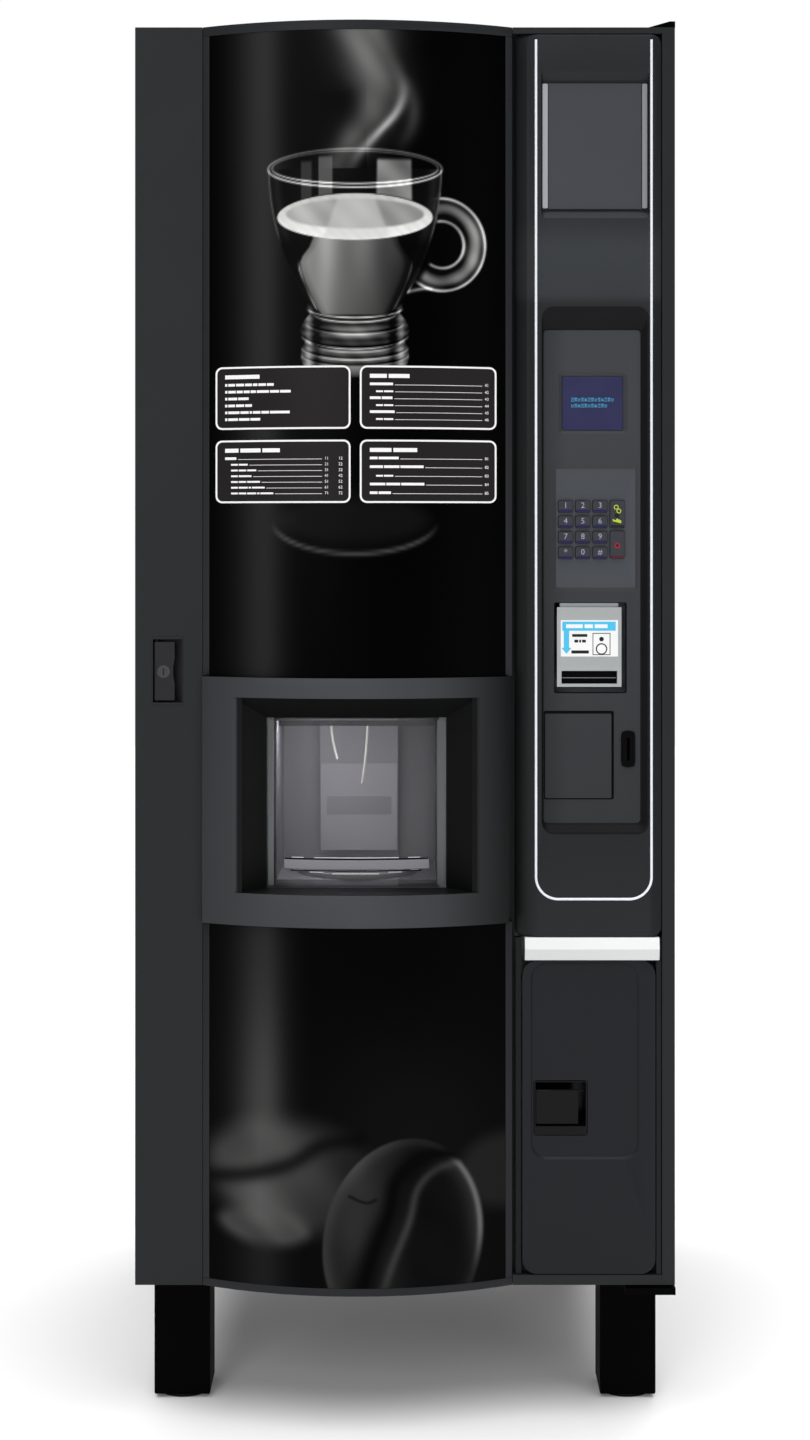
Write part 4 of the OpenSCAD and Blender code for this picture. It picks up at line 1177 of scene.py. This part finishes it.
def window_parts():
    """Guides at both sides; on the window the grip bar, thin black lines above and below it, and white
    painted highlights over and under it.
    """
    shapes = Shapes()
    for x0, x1 in [(-180.2, -173.0), (42.6, 52.2)]:
        shapes.rounded_bar(x0, x1, 701, 919, 2, flat(FRONT + 7.2), 0, 0, 2)
    shapes.build("window_guides", "door", [GUIDE], 40)
    centre = (window_low[0] + window_high[0]) / 2

    def pane(x, lift):
        return window_low[1] + WINDOW_R - math.sqrt((WINDOW_R + lift) ** 2 - (x - centre) ** 2)

    grip = Shapes()
    grip.bar(-160, 32, 721, 733.2, pane, 2.6, 0, 2.5)
    grip.bar(-159, 30, 733.6, 735.2, pane, 1.6, 1, 1.5)
    grip.bar(-152, 22, 718.2, 719.6, pane, 1.6, 1, 1.5)
    # White painted highlights: short bars along the top of the grip, then bars in a shallow arc beneath
    # it.
    for x0, x1 in [(-150, -134), (-120, -8), (4, 20)]:
        grip.bar(x0, x1, 735.6, 736.6, pane, 1.0, 2, 0.9)
    for x0, x1 in [(-148, -136), (-126, -108), (-96, -34), (-22, -4), (8, 18)]:
        low = 714.5 + 0.0007 * ((x0 + x1) / 2 + 66) ** 2
        grip.bar(x0, x1, low, low + 1.2, pane, 1.0, 2, 0.9)
    obj = grip.build("window_grip", "window", [PALE_GREY, BLACK, WHITE])
    soften(obj, 0.9)


window_parts()


def station_parts():
    """Lamp with its shade, the insert at the back and the two rigid spouts of the cup station."""
    x0, x1 = station_low[0], station_high[0]
    top = station_high[2] - 3
    lamp = Shapes()
    lamp.bar(x0 + 12, x1 - 80, top - 4, top - 1, flat(station_low[1] + 12), 0, 0, 14)
    glow = Material("station_lamp", srgb(250, 250, 250), 0.4).mottle(9, 0.02)
    glow.glow((1.0, 0.98, 0.98, 1), LAMP_GLOW)
    shade = Shapes()
    shade.bar(x0 + 6, x1 - 6, top - 8, top - 0.5, flat(station_low[1] + 8), 0, 0, 2)
    shade.build("station_lamp_shade", "cabinet", [DARK])
    insert = Shapes()
    back = station_high[1] - INSERT_INSET
    insert.rounded_bar(-119, -11, 716, 838, 2, flat(back), 0, 0, 1.5)
    insert.rounded_bar(-111, -19, 766, 792, 2, flat(back - 0.3), 0, 1, 1.2)
    insert.build("station_insert", "cabinet", [PALE_GREY, GREY], 40)
    lamp.build("station_lamp", "cabinet", [glow])
    for i, (x, reach) in enumerate([(-104, 62), (-52, 96)]):
        points = [(x + (10 - 18 * i) * (k / SPOUT_STEPS) ** 2,
                   station_high[1] - 70 - 10 * k / SPOUT_STEPS,
                   top - reach * k / SPOUT_STEPS) for k in range(SPOUT_STEPS + 1)]
        tube(f"spout_tube_{i + 1}", points, 1.8, "cabinet", SPOUT)


station_parts()


# ---------------------------------------------------------------- back plate and door seal

def back_details():
    """Rating plate and screws on the back panel."""
    back = box_mm("cabinet_back")[1][1]
    face = flat(back + 0.6)
    shapes = Shapes()
    shapes.rounded_bar(-214, -134, 300, 350, 4, face, 0, 0, 0.7)
    for i, length in enumerate((40, 62, 55, 30, 48)):
        shapes.bar(-206, -206 + length, 339 - 8 * i, 342 - 8 * i, flat(back + 0.9), 0, 1, 0.4)
    for x in (-338, -112, 112, 338):
        for z in (196, 600, 1004, 1408, 1811):
            shapes.disc(x, z, 5, flat(back + 1.8), 0, 2, 1.9)
    obj = shapes.build("back_plate", "cabinet", [WHITE, INK, ZINC], 40)


back_details()


def door_seal():
    """Rubber seal round the back of the door."""
    y = box_mm("door_liner")[1][1] + 1.7
    points = [(x, y, z) for x, z in rounded(-332, 318, 200, 1806, 20)]
    tube("door_seal", points, 1.6, "door", RUBBER, cyclic=True)


door_seal()


# ---------------------------------------------------------------- floor, light and camera

SUN_POWER = 3.3
SUN_SPREAD = 70                            # in degrees, as is the tilt
SUN_TILT = 7


def stage_floor():
    """Plain pale floor."""
    half = 9000
    mesh = mesh_from([(-half, -half, 0), (half, -half, 0), (half, half, 0), (-half, half, 0)],
                     [(0, 1, 2, 3)], "floor")
    pale = Material("floor_paint", srgb(238, 238, 238), 0.9, 0.0, 0.1).mottle(1, 0.01)
    pale.glow((1, 1, 1, 1), 0.05)
    mesh.materials.append(pale.mat)
    floor = linked("floor", mesh)


def area_light(name, place, target, size, power):
    light = bpy.data.lights.new(name, "AREA")
    light.shape = "RECTANGLE"
    light.size, light.size_y = size
    light.energy = power
    holder = linked(name, light)
    holder.location = place
    holder.rotation_euler = (Vector(target) - Vector(place)).to_track_quat("-Z", "Y").to_euler()


def overhead_sun():
    """Soft light from nearly overhead: it whitens the floor and leaves a shadow under the machine."""
    light = bpy.data.lights.new("overhead", "SUN")
    light.energy = SUN_POWER
    light.angle = math.radians(SUN_SPREAD)
    linked("overhead", light).rotation_euler = (math.radians(SUN_TILT), 0, 0)


def studio():
    """Floor, lights, and a world that lights dimly but shows white behind the machine."""
    stage_floor()
    world = bpy.data.worlds.new("studio")
    world.use_nodes = True
    tree = world.node_tree
    background = tree.nodes["Background"]
    backdrop = tree.nodes.new("ShaderNodeBackground")
    for shader, strength in [(background, 0.30), (backdrop, 1.0)]:
        shader.inputs["Color"].default_value = (1, 1, 1, 1)
        shader.inputs["Strength"].default_value = strength
    path = tree.nodes.new("ShaderNodeLightPath")
    mix = tree.nodes.new("ShaderNodeMixShader")
    sources = [path.outputs["Is Camera Ray"], background.outputs[0], backdrop.outputs[0]]
    for source, socket in zip(sources, mix.inputs):
        tree.links.new(source, socket)
    tree.links.new(mix.outputs[0], tree.nodes["World Output"].inputs["Surface"])
    bpy.context.scene.world = world
    bpy.context.scene.view_settings.view_transform = "Standard"
    overhead_sun()
    area_light("key", (-1.3, -4.6, 2.4), (0, 0, 1.0), (1.4, 2.6), 48)
    area_light("fill", (2.6, -3.4, 1.4), (0, 0, 1.0), (1.2, 2.6), 11)
    area_light("rear", (1.5, 4.0, 3.0), (0, 0, 1.0), (2.4, 2.4), 50)


def camera():
    """Level camera; the shift puts the whole machine in the frame."""
    distance, height = 3.0, 1.1676             # in metres, from the door's front and above the floor
    data = bpy.data.cameras.new("camera")
    data.sensor_width = 36
    data.lens = 57.025
    data.shift_y = -0.13125
    holder = linked("camera", data)
    holder.location = (0, FRONT * MM - distance, height)
    holder.rotation_euler = (math.radians(90), 0, 0)
    bpy.context.scene.camera = holder


studio()
camera()
